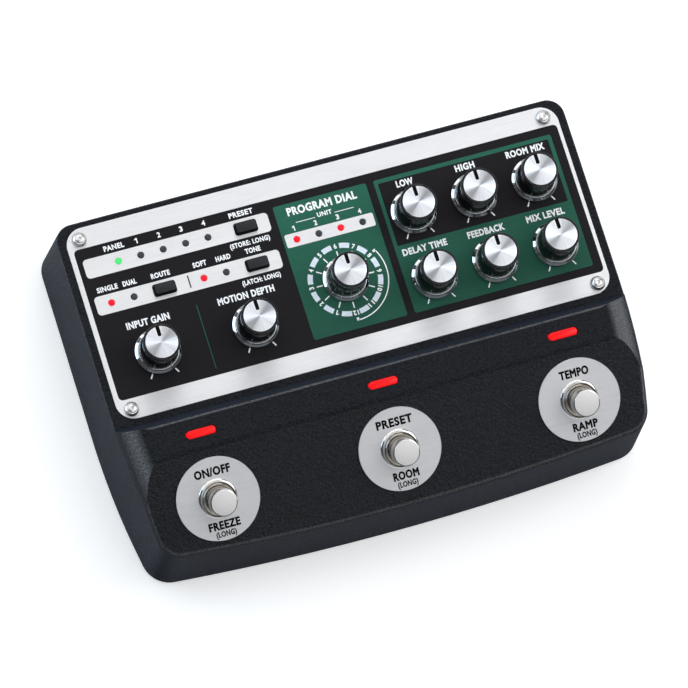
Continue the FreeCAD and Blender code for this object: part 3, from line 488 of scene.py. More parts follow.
@dataclass(frozen=True)
class ScreenInk(PatternedFinish):
    """Screen-printed enamel ink over brushed aluminium.

    The ink levels out but follows the brushing under it, so its sheen shows
    faint streaks along the panel. Its colour is painted darker towards the
    front: painted shade.
    """

    colour: str = "#1d1b1e"
    # Colour at the front of the plate, darker than at the back: painted shade
    front_colour: str = "#1d1b1e"
    back_mm: float = 50.0
    streak_mm: float = 9.0
    groove_mm: float = 0.3
    relief_mm: float = 0.002
    bump: float = 0.5
    roughness: float = 0.42
    uneven: tuple[float, float] = (-0.04, 0.06)
    fade: float = 0.08
    sheen: float = 0.08

    def shade(self, tree: Tree) -> Socket:
        """Add streaks and a drift of colour to a satin ink.

        Args:
            tree: empty node tree of the material.

        Returns:
            The shader output that feeds the surface.
        """
        place = add_node(tree, "ShaderNodeTexCoord").outputs["Object"]
        stretched = add_node(tree, "ShaderNodeMapping",
                             {"Vector": place, "Scale": (self.groove_mm / self.streak_mm, 1.0, 1.0)})
        streaks = add_node(tree, "ShaderNodeTexNoise",
                           {"Vector": stretched.outputs[0], "Scale": per_metre(self.groove_mm),
                            "Detail": 2.0}).outputs["Fac"]
        # Colour grades from front_colour at the front to colour at back_mm: painted shade towards the front
        depth = add_node(tree, "ShaderNodeSeparateXYZ", {"Vector": place}).outputs["Y"]
        drift = add_node(tree, "ShaderNodeMapRange", {"Value": depth, "From Max": self.back_mm * MM})
        looks = self.textured(tree, drift.outputs[0], (self.front_colour, self.colour), streaks, streaks)
        fade = add_node(tree, "ShaderNodeMapRange",
                        {"Value": streaks, "From Min": self.window[0], "From Max": self.window[1],
                         "To Min": 1.0 - self.fade, "To Max": 1.0 + self.fade})
        tone = add_node(tree, "ShaderNodeVectorMath", {0: looks["Base Color"], "Scale": fade.outputs[0]},
                        operation="SCALE")
        enamel = add_node(tree, "ShaderNodeBsdfPrincipled",
                          {**looks, "Base Color": tone.outputs[0], "IOR": 1.5,
                           "Specular IOR Level": self.sheen})
        return enamel.outputs[0]


@dataclass(frozen=True)
class LampLens(Finish):
    """Tinted polycarbonate lens over a small lamp.

    A lit lens glows from its own tint with a paler core where the chip sits
    behind it; an unlit one is smoky grey. The surface keeps a moulded gloss.
    """

    tint: str = "#3c4046"
    core: str = "#4a4f56"
    body: str = "#3a3e44"
    glow: float = 0.0
    cell_mm: float = 0.8

    def shade(self, tree: Tree) -> Socket:
        """Add a glowing core under a glossy tint.

        Args:
            tree: empty node tree of the material.

        Returns:
            The shader output that feeds the surface.
        """
        place = add_node(tree, "ShaderNodeTexCoord").outputs["Object"]
        cells = add_node(tree, "ShaderNodeTexNoise",
                         {"Vector": place, "Scale": per_metre(self.cell_mm), "Detail": 2.0})
        facing = add_node(tree, "ShaderNodeLayerWeight", {"Blend": 0.35}).outputs["Facing"]
        mix = add_node(tree, "ShaderNodeMath", {0: cells.outputs["Fac"], 1: 0.35, 2: facing},
                       operation="MULTIPLY_ADD")
        tone = add_node(tree, "ShaderNodeMix",
                        {"Factor": mix.outputs[0], 6: linear(self.core), 7: linear(self.tint)},
                        data_type="RGBA")
        lens = add_node(tree, "ShaderNodeBsdfPrincipled",
                        {"Base Color": linear(self.body), "Roughness": 0.25, "IOR": 1.58,
                         "Specular IOR Level": 0.2, "Emission Color": tone.outputs[2],
                         "Emission Strength": self.glow})
        return lens.outputs[0]


@dataclass(frozen=True)
class CircuitLaminate(Finish):
    """Glass-epoxy board with green solder mask over etched copper.

    Copper runs lift the mask's colour to a brighter green in straight tracks,
    and small pads break the field.
    """

    mask: str = "#0f3b24"
    thin_mask: str = "#134a2d"
    track: str = "#1f6a3f"
    pad: str = "#b9b39a"
    pitch_mm: float = 2.4
    relief_mm: float = 0.02

    def shade(self, tree: Tree) -> Socket:
        """Add tracks and pads under a glossy mask.

        Args:
            tree: empty node tree of the material.

        Returns:
            The shader output that feeds the surface.
        """
        place = add_node(tree, "ShaderNodeTexCoord").outputs["Object"]
        tracks = add_node(tree, "ShaderNodeTexBrick",
                          {"Vector": place, "Scale": per_metre(self.pitch_mm * 4), "Mortar Size": 0.03,
                           "Color1": linear(self.mask), "Color2": linear(self.thin_mask),
                           "Mortar": linear(self.track)}, offset=0.37, squash=1.4)
        pads = add_node(tree, "ShaderNodeTexVoronoi", {"Vector": place, "Scale": per_metre(self.pitch_mm)})
        near = add_node(tree, "ShaderNodeMath", {0: pads.outputs["Distance"], 1: 0.2}, operation="LESS_THAN")
        tone = add_node(tree, "ShaderNodeMix",
                        {"Factor": near.outputs[0], 6: tracks.outputs["Color"], 7: linear(self.pad)},
                        data_type="RGBA")
        bump = add_node(tree, "ShaderNodeBump",
                        {"Strength": 0.6, "Distance": self.relief_mm * MM, "Height": tracks.outputs["Fac"]})
        board = add_node(tree, "ShaderNodeBsdfPrincipled",
                         {"Base Color": tone.outputs[2], "Roughness": 0.3, "IOR": 1.52,
                          "Normal": bump.outputs[0]})
        return board.outputs[0]


@dataclass(frozen=True)
class StudioGround(Finish):
    """Matt white sweep, lifted to paper white for the camera.

    Close to the object the lift is partial, so that its shadow shows. Between
    near and far, in metres from the middle, it grows to pure white.
    """

    colour: str = "#f4f4f4"
    lift: float = 0.4
    near: float = 0.2
    far: float = 0.6

    def shade(self, tree: Tree) -> Socket:
        """Add a lift for camera rays to a matt white.

        Args:
            tree: empty node tree of the material.

        Returns:
            The shader output that feeds the surface.
        """
        seen = add_node(tree, "ShaderNodeLightPath").outputs["Is Camera Ray"]
        place = add_node(tree, "ShaderNodeTexCoord").outputs["Object"]
        away = add_node(tree, "ShaderNodeVectorMath", {0: place}, operation="LENGTH").outputs["Value"]
        lift = add_node(tree, "ShaderNodeMapRange",
                        {"Value": away, "From Min": self.near, "From Max": self.far, "To Min": self.lift})
        lifted = add_node(tree, "ShaderNodeMath", {0: seen, 1: lift.outputs[0]}, operation="MULTIPLY")
        paper = add_node(tree, "ShaderNodeBsdfPrincipled",
                         {"Base Color": linear(self.colour), "Roughness": 0.9, "Specular IOR Level": 0.0,
                          "Emission Color": (1.0, 1.0, 1.0, 1.0), "Emission Strength": lifted.outputs[0]})
        return paper.outputs[0]


# Baked on so that it pebbles: near black, with a cool glint on every crown, partly real gloss and partly a
# painted highlight, and painted shade in the creases
CASE_PAINT = CastPaint("textured_paint_baked_charcoal")
# Powder sprayed thin over steel: a duller, flatter black with a fine orange peel; its crowns are painted a
# little lighter and its creases darker, a faint painted highlight and painted shade
BASE_PAINT = CastPaint("powder_coat_satin_black", colour="#101113", crown="#191a1d", cell_mm=0.7,
                       speck_mm=0.3, relief_mm=0.03, roughness=0.5, haze=0.05, rub=0.0)
# Brushed in one long pass: soft bands of grey across an almost white plate
PLATE_ALUMINIUM = BrushedSheet("aluminium_sheet_brushed")
# Brushed coarser and left satin: an even disc, greyer than the plate
DISC_ALUMINIUM = BrushedSheet("aluminium_disc_brushed_satin", colour="#d8d8da", shade_colour="#c8c8cb",
                              groove_mm=0.3, streak_mm=12.0, roughness=0.5, grain=0.6)
# Faced on a lathe: light and dark fans that turn about the middle
CAP_ALUMINIUM = SpunMetal("aluminium_cap_spun")
# Cut last with a polished tool: a thin bright line round each cap
CAP_EDGE = PlatedMetal("aluminium_edge_diamond_turned", colour="#f4f5f7", haze_colour="#e8eaee",
                       roughness=0.2)
# Mirror plating: hard black and white reflections
CHROME = PlatedMetal("chrome_polished", roughness=0.05, uneven=(0.0, 0.02), wave_mm=2.6, relief_mm=0.08)
# Tumbled smooth: a broad gloss that shows no sharp image
SCREW_NICKEL = PlatedMetal("nickel_screw_barrelled", colour="#e4e3e1", haze_colour="#c9c8c6", roughness=0.27)
# Plated bright over turned steel: warm reflections, broken by a slight waviness
SWITCH_NICKEL = PlatedMetal("nickel_polished_bright", colour="#ebe9e5", haze_colour="#dad7d1", roughness=0.1,
                            relief_mm=0.02)
# Faced, then dulled by shoes: an even pale warm grey
PLUNGER_FACE = PlatedMetal("nickel_plunger_faced", colour="#e9e7e6", haze_colour="#e0dedb", roughness=0.5,
                           haze_mm=0.6)
# Faced and left satin: a quiet ring between bright ones
NUT_FACE = PlatedMetal("nickel_nut_faced_satin", colour="#d9d8d5", haze_colour="#cbc9c5", roughness=0.38)
# Nickel worn to the brass by rubbing: darker, browner bands
BUSHING_NICKEL = PlatedMetal("nickel_bushing_worn_to_brass", colour="#a5a19a", haze_colour="#7a7367",
                             roughness=0.2, uneven=(0.0, 0.1), haze_mm=0.8)
# Barrel zinc on pressed steel: a cool grey with dull clouds
ZINC_STEEL = PlatedMetal("steel_zinc_plated", colour="#c3c6c9", haze_colour="#a7abb0", roughness=0.28,
                         uneven=(0.0, 0.16))
# Hot oxide on screws: a dark metal with a low sheen
BLACK_STEEL = PlatedMetal("steel_black_oxide", colour="#33353a", haze_colour="#222428", roughness=0.32,
                          uneven=(0.0, 0.12))
# Turned and left bare: a plain mid-grey gloss
SHAFT_STEEL = PlatedMetal("steel_turned_bright", colour="#b9bbbf", haze_colour="#9da1a6", roughness=0.22)
# Moulded in a polished tool: wet-looking black with soft edges to its highlights
KNOB_ABS = Moulding("abs_moulded_gloss_black", coat=0.15)
# Moulded in a fine-blasted tool: a blue-black that stays dark under the lamps
BUTTON_ABS = Moulding("abs_moulded_satin_slate", colour="#14171d", tone_colour="#171a20", roughness=0.3,
                      relief_mm=0.001, sheen=0.35)
# Matte black on each cap's seat, seen through its notch, and on the buttons' chamfers and sides: painted
# shade that swallows the light
DULL_BLACK = Moulding("matte_black_painted_shade", colour="#050506", tone_colour="#09090a", roughness=0.7,
                      sheen=0.1, grain_mm=0.3)
# Glass-filled nylon: a mottled satin black
JACK_NYLON = Moulding("nylon_moulded_black", colour="#141416", tone_colour="#1b1b1e", roughness=0.38,
                      grain_mm=0.7, relief_mm=0.012)
# Moulded rubber: an even matte grain with no highlight
FOOT_RUBBER = Moulding("rubber_moulded_matte", colour="#101011", tone_colour="#1a1a1b", roughness=0.72,
                       grain_mm=0.45, relief_mm=0.03)
# Etched and masked: bright tracks in a dark green gloss
BOARD_GREEN = CircuitLaminate("laminate_solder_mask_green")
# Satin inks in their printing order: black ground, green fields, white and pale blue marks
BLACK_INK = ScreenInk("enamel_ink_black")
# The green, white and pale blue inks are painted darker towards the front: painted shade
GREEN_INK = ScreenInk("enamel_ink_bottle_green", colour="#2b6350", front_colour="#255545")
WHITE_INK = ScreenInk("enamel_ink_white", colour="#fbfcfd", front_colour="#f8f9fb")
PALE_INK = ScreenInk("enamel_ink_pale_blue", colour="#e1ebf5", front_colour="#dee8f3")
# Printed on the discs: a deeper black than the plate's
LEGEND_INK = ScreenInk("enamel_ink_legend_black", colour="#08080a", front_colour="#08080a")
# Smoked plastic with its lamp off: a grey bead
LAMP_SMOKE = LampLens("polycarbonate_smoked_unlit")
# Clear tints with their lamps on: saturated light with a paler core
LAMP_RED = LampLens("polycarbonate_red_lit", tint="#d8061e", core="#ff1430", body="#300205", glow=1.0)
LAMP_GREEN = LampLens("polycarbonate_green_lit", tint="#28c455", core="#5cf985", body="#043010", glow=1.0)
BAR_RED = LampLens("acrylic_red_bar_lit", tint="#f4181c", core="#ff0004", body="#200103", glow=1.0,
                   cell_mm=2.0)
# Seamless paper: white to the camera, with a soft shadow under the object
GROUND = StudioGround("paper_sweep_matt_white")


# Mesh tools

def turned(profile: list[Point], steps: int = 96) -> bmesh.types.BMesh:
    """Turn a profile about the Z axis.

    Args:
        profile: (radius, height) points, in order.
        steps: facets in the full turn.

    Returns:
        A closed mesh, or an open one where the profile is open.
    """
    mesh = bmesh.new()
    points = [mesh.verts.new((radius, 0.0, height)) for radius, height in profile]
    lines = [mesh.edges.new(pair) for pair in zip(points, points[1:])]
    bmesh.ops.spin(mesh, geom=points + lines, cent=(0, 0, 0), axis=(0, 0, 1), dvec=(0, 0, 0),
                   angle=math.tau, steps=steps, use_merge=True, use_duplicate=False)
    bmesh.ops.remove_doubles(mesh, verts=mesh.verts[:], dist=WELD)
    bmesh.ops.recalc_face_normals(mesh, faces=mesh.faces[:])
    return mesh


def rounded_face(mesh: bmesh.types.BMesh, left: float, right: float, front: float, back: float,
                 radius: float, arc_steps: int = 6) -> None:
    """Add a flat, level rectangle with rounded corners.

    Args:
        mesh: mesh that gets the face.
        left: lowest X.
        right: highest X.
        front: lowest Y.
        back: highest Y.
        radius: corner radius.
        arc_steps: segments in each corner.
    """
    middle = Matrix.Translation(((left + right) / 2, (front + back) / 2, 0.0))
    stretch = Matrix.Diagonal((right - left, back - front, 1.0, 1.0))
    corners = bmesh.ops.create_grid(mesh, x_segments=1, y_segments=1, size=0.5,
                                    matrix=middle @ stretch)["verts"]
    if radius > 0:
        bmesh.ops.bevel(mesh, geom=corners, offset=radius, offset_type="OFFSET", affect="VERTICES",
                        segments=arc_steps, profile=0.5, material=-1)


def raise_faces(mesh: bmesh.types.BMesh, faces: list[bmesh.types.BMFace], height: float) -> None:
    """Extrude flat faces upwards into closed solids.

    Args:
        mesh: mesh that holds the faces.
        faces: faces to raise, all of them flat and level.
        height: how far they rise.
    """
    grown = bmesh.ops.extrude_face_region(mesh, geom=faces, use_keep_orig=True)["geom"]
    lifted = [part for part in grown if isinstance(part, bmesh.types.BMVert)]
    bmesh.ops.translate(mesh, verts=lifted, vec=(0.0, 0.0, height))
    bmesh.ops.recalc_face_normals(mesh, faces=mesh.faces[:])


def slab(width: float, depth: float, height: float, corner: float, arc_steps: int = 6) -> bmesh.types.BMesh:
    """Make a flat block, centred on the Z axis, with rounded upright edges.

    Args:
        width: size along X.
        depth: size along Y.
        height: how far it rises from zero.
        corner: radius of its upright edges.
        arc_steps: segments in each corner.

    Returns:
        A closed mesh.
    """
    block = bmesh.new()
    rounded_face(block, -width / 2, width / 2, -depth / 2, depth / 2, corner, arc_steps)
    raise_faces(block, block.faces[:], height)
    return block


def soften(mesh: bmesh.types.BMesh, width: float, above: float, segments: int = 2) -> None:
    """Round the sharp upper edges of a mesh.

    Args:
        mesh: closed mesh.
        width: width of the rounding.
        above: height at or over which an edge is rounded.
        segments: segments across the rounding.
    """
    sharp = [edge for edge in mesh.edges
             if len(edge.link_faces) == 2 and edge.calc_face_angle(0.0) > SHARP
             and min(vert.co.z for vert in edge.verts) >= above]
    bmesh.ops.bevel(mesh, geom=sharp, offset=width, offset_type="OFFSET", affect="EDGES", segments=segments,
                    profile=0.5, clamp_overlap=True, material=-1)


def spread_outline(mesh: bmesh.types.BMesh, width: float, least_share: float = 0.45) -> None:
    """Move the outline of flat, upward faces outwards, as heavy ink spreads.

    Args:
        mesh: flat mesh.
        width: how far each side of the outline moves.
        least_share: least part of a corner's move that goes straight out, which
            keeps sharp corners from growing into spikes.
    """
    ways: dict[bmesh.types.BMVert, list[Vector]] = {}
    for face in mesh.faces:
        for corner in face.loops:
            if corner.edge.is_boundary:
                run = corner.link_loop_next.vert.co - corner.vert.co
                out = Vector((run.y, -run.x, 0.0)).normalized()
                for vert in corner.edge.verts:
                    ways.setdefault(vert, []).append(out)
    for vert, outs in ways.items():
        way = sum(outs, Vector()).normalized()
        vert.co += way * width / max(least_share, way.dot(outs[0]))


def mark_turned(mesh: bmesh.types.BMesh) -> None:
    """Store each point's place across the axis in the UV map "turned".

    Args:
        mesh: a piece whose axis is still the Z axis.
    """
    layer = mesh.loops.layers.uv.new("turned")
    for face in mesh.faces:
        for corner in face.loops:
            corner[layer].uv = (corner.vert.co.x, corner.vert.co.y)


def at(x: float, y: float, z: float = 0.0, turn: float = 0.0) -> Matrix:
    """Return the place that is turned about Z, by degrees, and then moved."""
    return Matrix.Translation((x, y, z)) @ Matrix.Rotation(math.radians(turn), 4, "Z")


def absorb(mesh: bmesh.types.BMesh, part: bmesh.types.BMesh, place: Matrix) -> None:
    """Move a part into another mesh at its place.

    Args:
        mesh: mesh that takes the part in.
        part: the part. It is freed.
        place: where the part's own axes lie.
    """
    held = bpy.data.meshes.new("part")
    part.transform(place)
    part.to_mesh(held)
    part.free()
    mesh.from_mesh(held)
    bpy.data.meshes.remove(held)


def hand_over(mesh: bmesh.types.BMesh, place: Matrix, name: str, finishes: list[Finish], body: str,
              slot: str, *nodes: str) -> None:
    """Make a finished mesh a piece of the object, its object at the origin.

    Args:
        mesh: the piece in millimetres. It is freed.
        place: where the piece's own axes lie.
        name: name of the piece.
        finishes: finishes in the order of the faces' material numbers.
        body: CAD body that the piece rides on.
        slot: not used.
        nodes: CAD nodes that it stands for.
    """
    for face in mesh.faces:
        face.smooth = True
    for edge in mesh.edges:
        edge.smooth = len(edge.link_faces) == 2 and edge.calc_face_angle(0.0) < SMOOTH
    mesh.transform(Matrix.Scale(MM, 4) @ place)
    data = bpy.data.meshes.new(name)
    mesh.to_mesh(data)
    mesh.free()
    for finish in finishes:
        data.materials.append(finish.make())
    piece = bpy.data.objects.new(name, data)
    bpy.context.scene.collection.objects.link(piece)
    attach(piece, body)
    if nodes:
        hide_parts(*nodes)
    log.info("%s: %d faces on %s", name, len(data.polygons), body)


@dataclass
class PrintSheet:
    """One colour of ink on a flat face, drawn in the face's own millimetres."""

    finish: Finish
    low: float
    high: float
    mesh: bmesh.types.BMesh = field(default_factory=bmesh.new)
    arc_step: float = 3.0

    def patch(self, outline: Patch, *windows: Patch) -> None:
        """Print a rounded rectangle, less its windows.

        Args:
            outline: the rectangle.
            windows: rectangles in it that stay bare.
        """
        part = bmesh.new()
        for rectangle in (outline, *windows):
            rounded_face(part, *rectangle)
        if windows:
            bmesh.ops.delete(part, geom=part.faces[:], context="FACES_ONLY")
            bmesh.ops.triangle_fill(part, use_beauty=True, edges=part.edges[:])
        absorb(self.mesh, part, Matrix.Identity(4))

    def sector(self, centre: Point, inner: float, outer: float, start: float, sweep: float) -> None:
        """Print part of a ring.

        Args:
            centre: centre of the ring.
            inner: inner radius.
            outer: outer radius.
            start: first angle in degrees, anticlockwise from +X.
            sweep: angle that it covers in degrees, anticlockwise.
        """
        part = bmesh.new()
        ends = [part.verts.new((radius, 0.0, 0.0)) for radius in (inner, outer)]
        line = part.edges.new(ends)
        bmesh.ops.rotate(part, verts=ends, cent=(0, 0, 0),
                         matrix=Matrix.Rotation(math.radians(start), 3, "Z"))
        bmesh.ops.spin(part, geom=ends + [line], cent=(0, 0, 0), axis=(0, 0, 1), dvec=(0, 0, 0),
                       angle=math.radians(sweep), steps=round(sweep / self.arc_step), use_merge=False,
                       use_duplicate=False)
        absorb(self.mesh, part, at(*centre))

    def tick(self, centre: Point, angle: float, inner: float, outer: float, width: float) -> None:
        """Print a stroke that points away from a centre.

        Args:
            centre: the centre.
            angle: direction in degrees, anticlockwise from +X.
            inner: distance of its near end.
            outer: distance of its far end.
            width: width of the stroke.
        """
        part = bmesh.new()
        rounded_face(part, inner, outer, -width / 2, width / 2, 0.0)
        absorb(self.mesh, part, at(*centre, turn=angle))

    def figure_one(self, middle: Point, cap: float, width: float, turn: float) -> None:
        """Print the figure 1 with its flag, which the typeface draws as a bare bar.

        Args:
            middle: centre of the figure.
            cap: height of the figure.
            width: width over stem and flag.
            turn: turn of the figure in degrees, anticlockwise.
        """
        part = bmesh.new()
        stem = 0.42 * width
        right = width / 2
        rounded_face(part, right - stem, right, -cap / 2, cap / 2, 0.0)
        flag = [part.verts.new(point) for point in (
            (right - stem, cap / 2, 0.0), (-width / 2, 0.27 * cap, 0.0), (-width / 2, 0.12 * cap, 0.0),
            (right - stem, 0.25 * cap, 0.0))]
        part.faces.new(flag)
        absorb(self.mesh, part, at(*middle, turn=turn))

    def word(self, text: str, middle: Point, cap: float, width: float, weight: float = 0.052,
             turn: float = 0.0) -> None:
        """Print a word in a condensed bold sans letter.

        Args:
            text: the word.
            middle: centre of the word.
            cap: height of its capitals.
            width: length of the word.
            weight: how far each side of a stroke is thickened, as a share of the capitals' height.
            turn: turn of the word in degrees, anticlockwise.
        """
        if text == "1":
            self.figure_one(middle, cap, width, turn)
            return
        curve = bpy.data.curves.new("word", "FONT")
        curve.body = text
        curve.resolution_u = 3
        curve.space_character = 1.12
        carrier = bpy.data.objects.new("word", curve)
        bpy.context.scene.collection.objects.link(carrier)
        shape = bpy.data.meshes.new_from_object(carrier.evaluated_get(bpy.context.evaluated_depsgraph_get()))
        bpy.data.objects.remove(carrier)
        bpy.data.curves.remove(curve)
        part = bmesh.new()
        part.from_mesh(shape)
        bpy.data.meshes.remove(shape)
        bmesh.ops.remove_doubles(part, verts=part.verts[:], dist=WELD)
        across = [vert.co.x for vert in part.verts]
        left, right = min(across), max(across)
        margin = 2 * weight * cap
        sizes = ((width - margin) / (right - left), (cap - margin) / LETTER_CAP, 1.0, 1.0)
        part.transform(Matrix.Diagonal(sizes) @ at(-(left + right) / 2, -LETTER_CAP / 2))
        spread_outline(part, weight * cap)
        absorb(self.mesh, part, at(*middle, turn=turn))

    def hand_over(self, name: str, place: Matrix, slot: str) -> None:
        """Give the ink its thickness and hand it over on the case.

        Args:
            name: name of the piece.
            place: where the printed face's own axes lie.
            slot: material slot of the record.
        """
        bmesh.ops.translate(self.mesh, verts=self.mesh.verts[:], vec=(0.0, 0.0, self.low))
        raise_faces(self.mesh, self.mesh.faces[:], self.high - self.low)
        hand_over(self.mesh, place, name, [self.finish], CASE_BODY, slot)


# Sub-assemblies

@dataclass
class CarriedNodes:
    """CAD nodes whose shape stays and which only get their finish."""

    finishes: dict[Finish, tuple[str, ...]] = field(default_factory=lambda: {
        CASE_PAINT: ("top_case",),
        PLATE_ALUMINIUM: ("face_plate",),
        BOARD_GREEN: ("panel_board", "main_board", "indicator_board"),
        ZINC_STEEL: ("pots", "board_screws", "usb_socket"),
        BASE_PAINT: ("base_plate",),
        BLACK_STEEL: ("base_screws",),
        FOOT_RUBBER: ("rubber_feet",),
        JACK_NYLON: ("tact_switches", "mini_jacks", "dc_jack", "jack_input_a", "jack_input_b",
                     "jack_output_a", "jack_output_b", "jack_control"),
        SWITCH_NICKEL: ("jack_nuts",),
        BUSHING_NICKEL: ("footswitch_bodies",),
        SHAFT_STEEL: tuple("shaft_" + name for name in KNOB_PLACES)})

    def build(self) -> None:
        """Give each carried-over node its finish."""
        for finish, nodes in self.finishes.items():
            for node in nodes:
                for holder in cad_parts[node].material_slots:
                    holder.material = finish.make()
            log.info("%s on %s", finish.name, ", ".join(nodes))


@dataclass
class FacePrint:
    """Inks on the face plate: black ground, green fields, scales, ticks and lettering.

    The dial's rings are radii about the selector. Ticks are two radii and a
    width, a button's black frame, painted shadow in the gap round it, is its
    half sizes and its corner, and the stroke that stops the arc is its reach
    inwards and its width. A line of words is its Y, the height of its
    capitals, and each word with its X and its length.
    """

    ground: Patch = (-89.0, 89.5, -3.94, 51.9, 1.6)
    rear_strip: Patch = (-87.05, -19.6, 40.8, 47.8, 1.4)
    front_strip: Patch = (-87.05, -19.6, 27.05, 33.95, 1.4)
    strip_divider: Patch = (-53.35, -52.9, 28.5, 33.0, 0.1)
    mode_strip: Patch = (-16.2, 16.4, 33.1, 38.0, 0.7)
    mode_field: Patch = (-17.1, 17.3, -1.0, 48.8, 0.8)
    effect_field: Patch = (20.05, 86.3, -1.0, 48.8, 0.8)
    effect_window: Patch = (21.4, 84.9, 23.8, 47.3, 0.5)
    knob_rule: Patch = (-53.32, -52.98, -1.6, 22.0, 0.0)
    unit_rules: tuple[Patch, Patch] = ((-10.65, -3.6, 41.33, 41.57, 0.0), (3.6, 10.65, 41.33, 41.57, 0.0))
    button_shadow_frame: tuple[float, float, float] = (4.2, 2.3, 1.0)
    shadow_frame_width: float = 0.25
    shadow_frame_corner: float = 0.85
    ink: float = 0.03
    dial_blocks: Point = (11.5, 13.35)
    block_sweep: float = 16.6
    dial_ticks: tuple[float, float, float] = (8.4, 10.6, 0.44)
    dial_numbers: float = 12.45
    number_cap: float = 1.75
    digit_width: float = 1.05
    two_digit_width: float = 2.0
    dial_arc: float = 15.2
    arc_width: float = 0.4
    arc_ends: Point = (-90.0, 30.0)
    arc_stop: Point = (0.95, 0.85)
    pot_ticks: tuple[float, float, float] = (8.3, 10.1, 0.46)
    pot_ends: Point = (-60.0, 240.0)
    lines: list[tuple[float, float, dict[str, Point]]] = field(default_factory=lambda: [
        (49.75, 1.95, {"PANEL": (-74.9, 7.4), "1": (-66.8, 1.0), "2": (-58.5, 1.2), "3": (-50.4, 1.2),
                       "4": (-42.2, 1.3), "PRESET": (-28.5, 8.8)}),
        (38.9, 1.8, {"(STORE: LONG)": (-28.4, 14.6)}),
        (35.95, 1.9, {"SINGLE": (-81.4, 7.5), "DUAL": (-73.3, 5.0), "ROUTE": (-62.1, 6.8),
                      "SOFT": (-47.8, 5.0), "HARD": (-39.2, 5.4), "TONE": (-28.3, 5.6)}),
        (25.1, 1.8, {"(LATCH: LONG)": (-28.4, 14.0)}),
        (20.95, 2.55, {"INPUT GAIN": (-71.2, 15.6), "MOTION DEPTH": (-35.4, 20.6)}),
        (45.75, 3.0, {"PROGRAM DIAL": (0.1, 25.6)}),
        (42.1, 1.7, {"UNIT": (0.0, 5.4)}),
        (39.6, 1.85, {"1": (-12.15, 0.95), "2": (-4.05, 1.15), "3": (4.05, 1.15), "4": (12.2, 1.2)}),
        (45.4, 2.5, {"LOW": (30.7, 6.2), "HIGH": (53.1, 7.2), "ROOM MIX": (75.6, 14.2)}),
        (20.95, 2.5, {"DELAY TIME": (30.5, 16.4), "FEEDBACK": (53.2, 13.6), "MIX LEVEL": (75.4, 14.2)})])

    def build(self) -> None:
        """Print the inks in order, each a layer over the one before."""
        for name, sheet in (("plate_ink_black_and_painted_shade", self._ground()), ("plate_ink_green", self._fields()),
                            ("plate_rule_green", self._sheet(GREEN_INK, 1, self.knob_rule)),
                            ("plate_ink_inset", self._sheet(BLACK_INK, 0, self.effect_window)),
                            ("plate_dial_blocks", self._scale()), ("plate_lettering", self._lettering())):
            sheet.hand_over(name, at(0.0, 0.0, PANEL_TOP), "plate_print")

    def _sheet(self, finish: Finish, layer: int, *patches: Patch) -> PrintSheet:
        """Start a colour.

        Args:
            finish: the ink.
            layer: how many layers lie under it.
            patches: plain rectangles to print.

        Returns:
            The ink with its rectangles.
        """
        sheet = PrintSheet(finish, layer * self.ink, (layer + 1) * self.ink)
        for patch in patches:
            sheet.patch(patch)
        return sheet

    def _ground(self) -> PrintSheet:
        """Print the black ground with its bare strips.

        Returns:
            The ground, the divider in a strip and the black frames round the buttons, painted shadow in their
            gaps.
        """
        black = self._sheet(BLACK_INK, 0)
        black.patch(self.ground, self.rear_strip, self.front_strip, self.mode_field, self.effect_field)
        black.patch(self.strip_divider)
        # Black frames round the buttons: painted shadow in the gaps between button and plate
        half_w, half_d, corner = self.button_shadow_frame
        inner_w, inner_d = half_w - self.shadow_frame_width, half_d - self.shadow_frame_width
        for x, y in BUTTON_PLACES.values():
            black.patch((x - half_w, x + half_w, y - half_d, y + half_d, corner),
                        (x - inner_w, x + inner_w, y - inner_d, y + inner_d, self.shadow_frame_corner))
        return black

    def _fields(self) -> PrintSheet:
        """Print the green fields.

        Returns:
            The selector's field less its lamp strip, and the frame of the effect controls.
        """
        green = self._sheet(GREEN_INK, 0)
        green.patch(self.mode_field, self.mode_strip)
        green.patch(self.effect_field, self.effect_window)
        return green

    def _scale(self) -> PrintSheet:
        """Print the selector's dial.

        Returns:
            Twelve pale blocks between its positions.
        """
        pale = self._sheet(PALE_INK, 1)
        for step in range(12):
            start = 75.0 - 30.0 * step - self.block_sweep / 2
            pale.sector(KNOB_PLACES["mode"], *self.dial_blocks, start, self.block_sweep)
        return pale

    def _lettering(self) -> PrintSheet:
        """Print everything that is white.

        Returns:
            The words, rules, dial numbers and ticks.
        """
        white = self._sheet(WHITE_INK, 1)
        for y, cap, words in self.lines:
            for text, (x, width) in words.items():
                white.word(text, (x, y), cap, width)
        for rule in self.unit_rules:
            white.patch(rule)
        dial = KNOB_PLACES["mode"]
        for number in range(1, 13):
            angle = 270.0 - 30.0 * number
            middle = Vector(dial) + Matrix.Rotation(math.radians(angle), 2) @ Vector((self.dial_numbers, 0.0))
            width = self.digit_width if number < 10 else self.two_digit_width
            white.word(str(number), tuple(middle), self.number_cap, width, turn=angle - 90.0)
            white.tick(dial, angle, *self.dial_ticks)
        half = self.arc_width / 2
        start, end = self.arc_ends
        white.sector(dial, self.dial_arc - half, self.dial_arc + half, start, end - start)
        for angle in self.arc_ends:
            white.tick(dial, angle, self.dial_arc - self.arc_stop[0], self.dial_arc + half, self.arc_stop[1])
        for name, centre in KNOB_PLACES.items():
            if name != "mode":
                for angle in self.pot_ends:
                    white.tick(centre, angle, *self.pot_ticks)
        return white


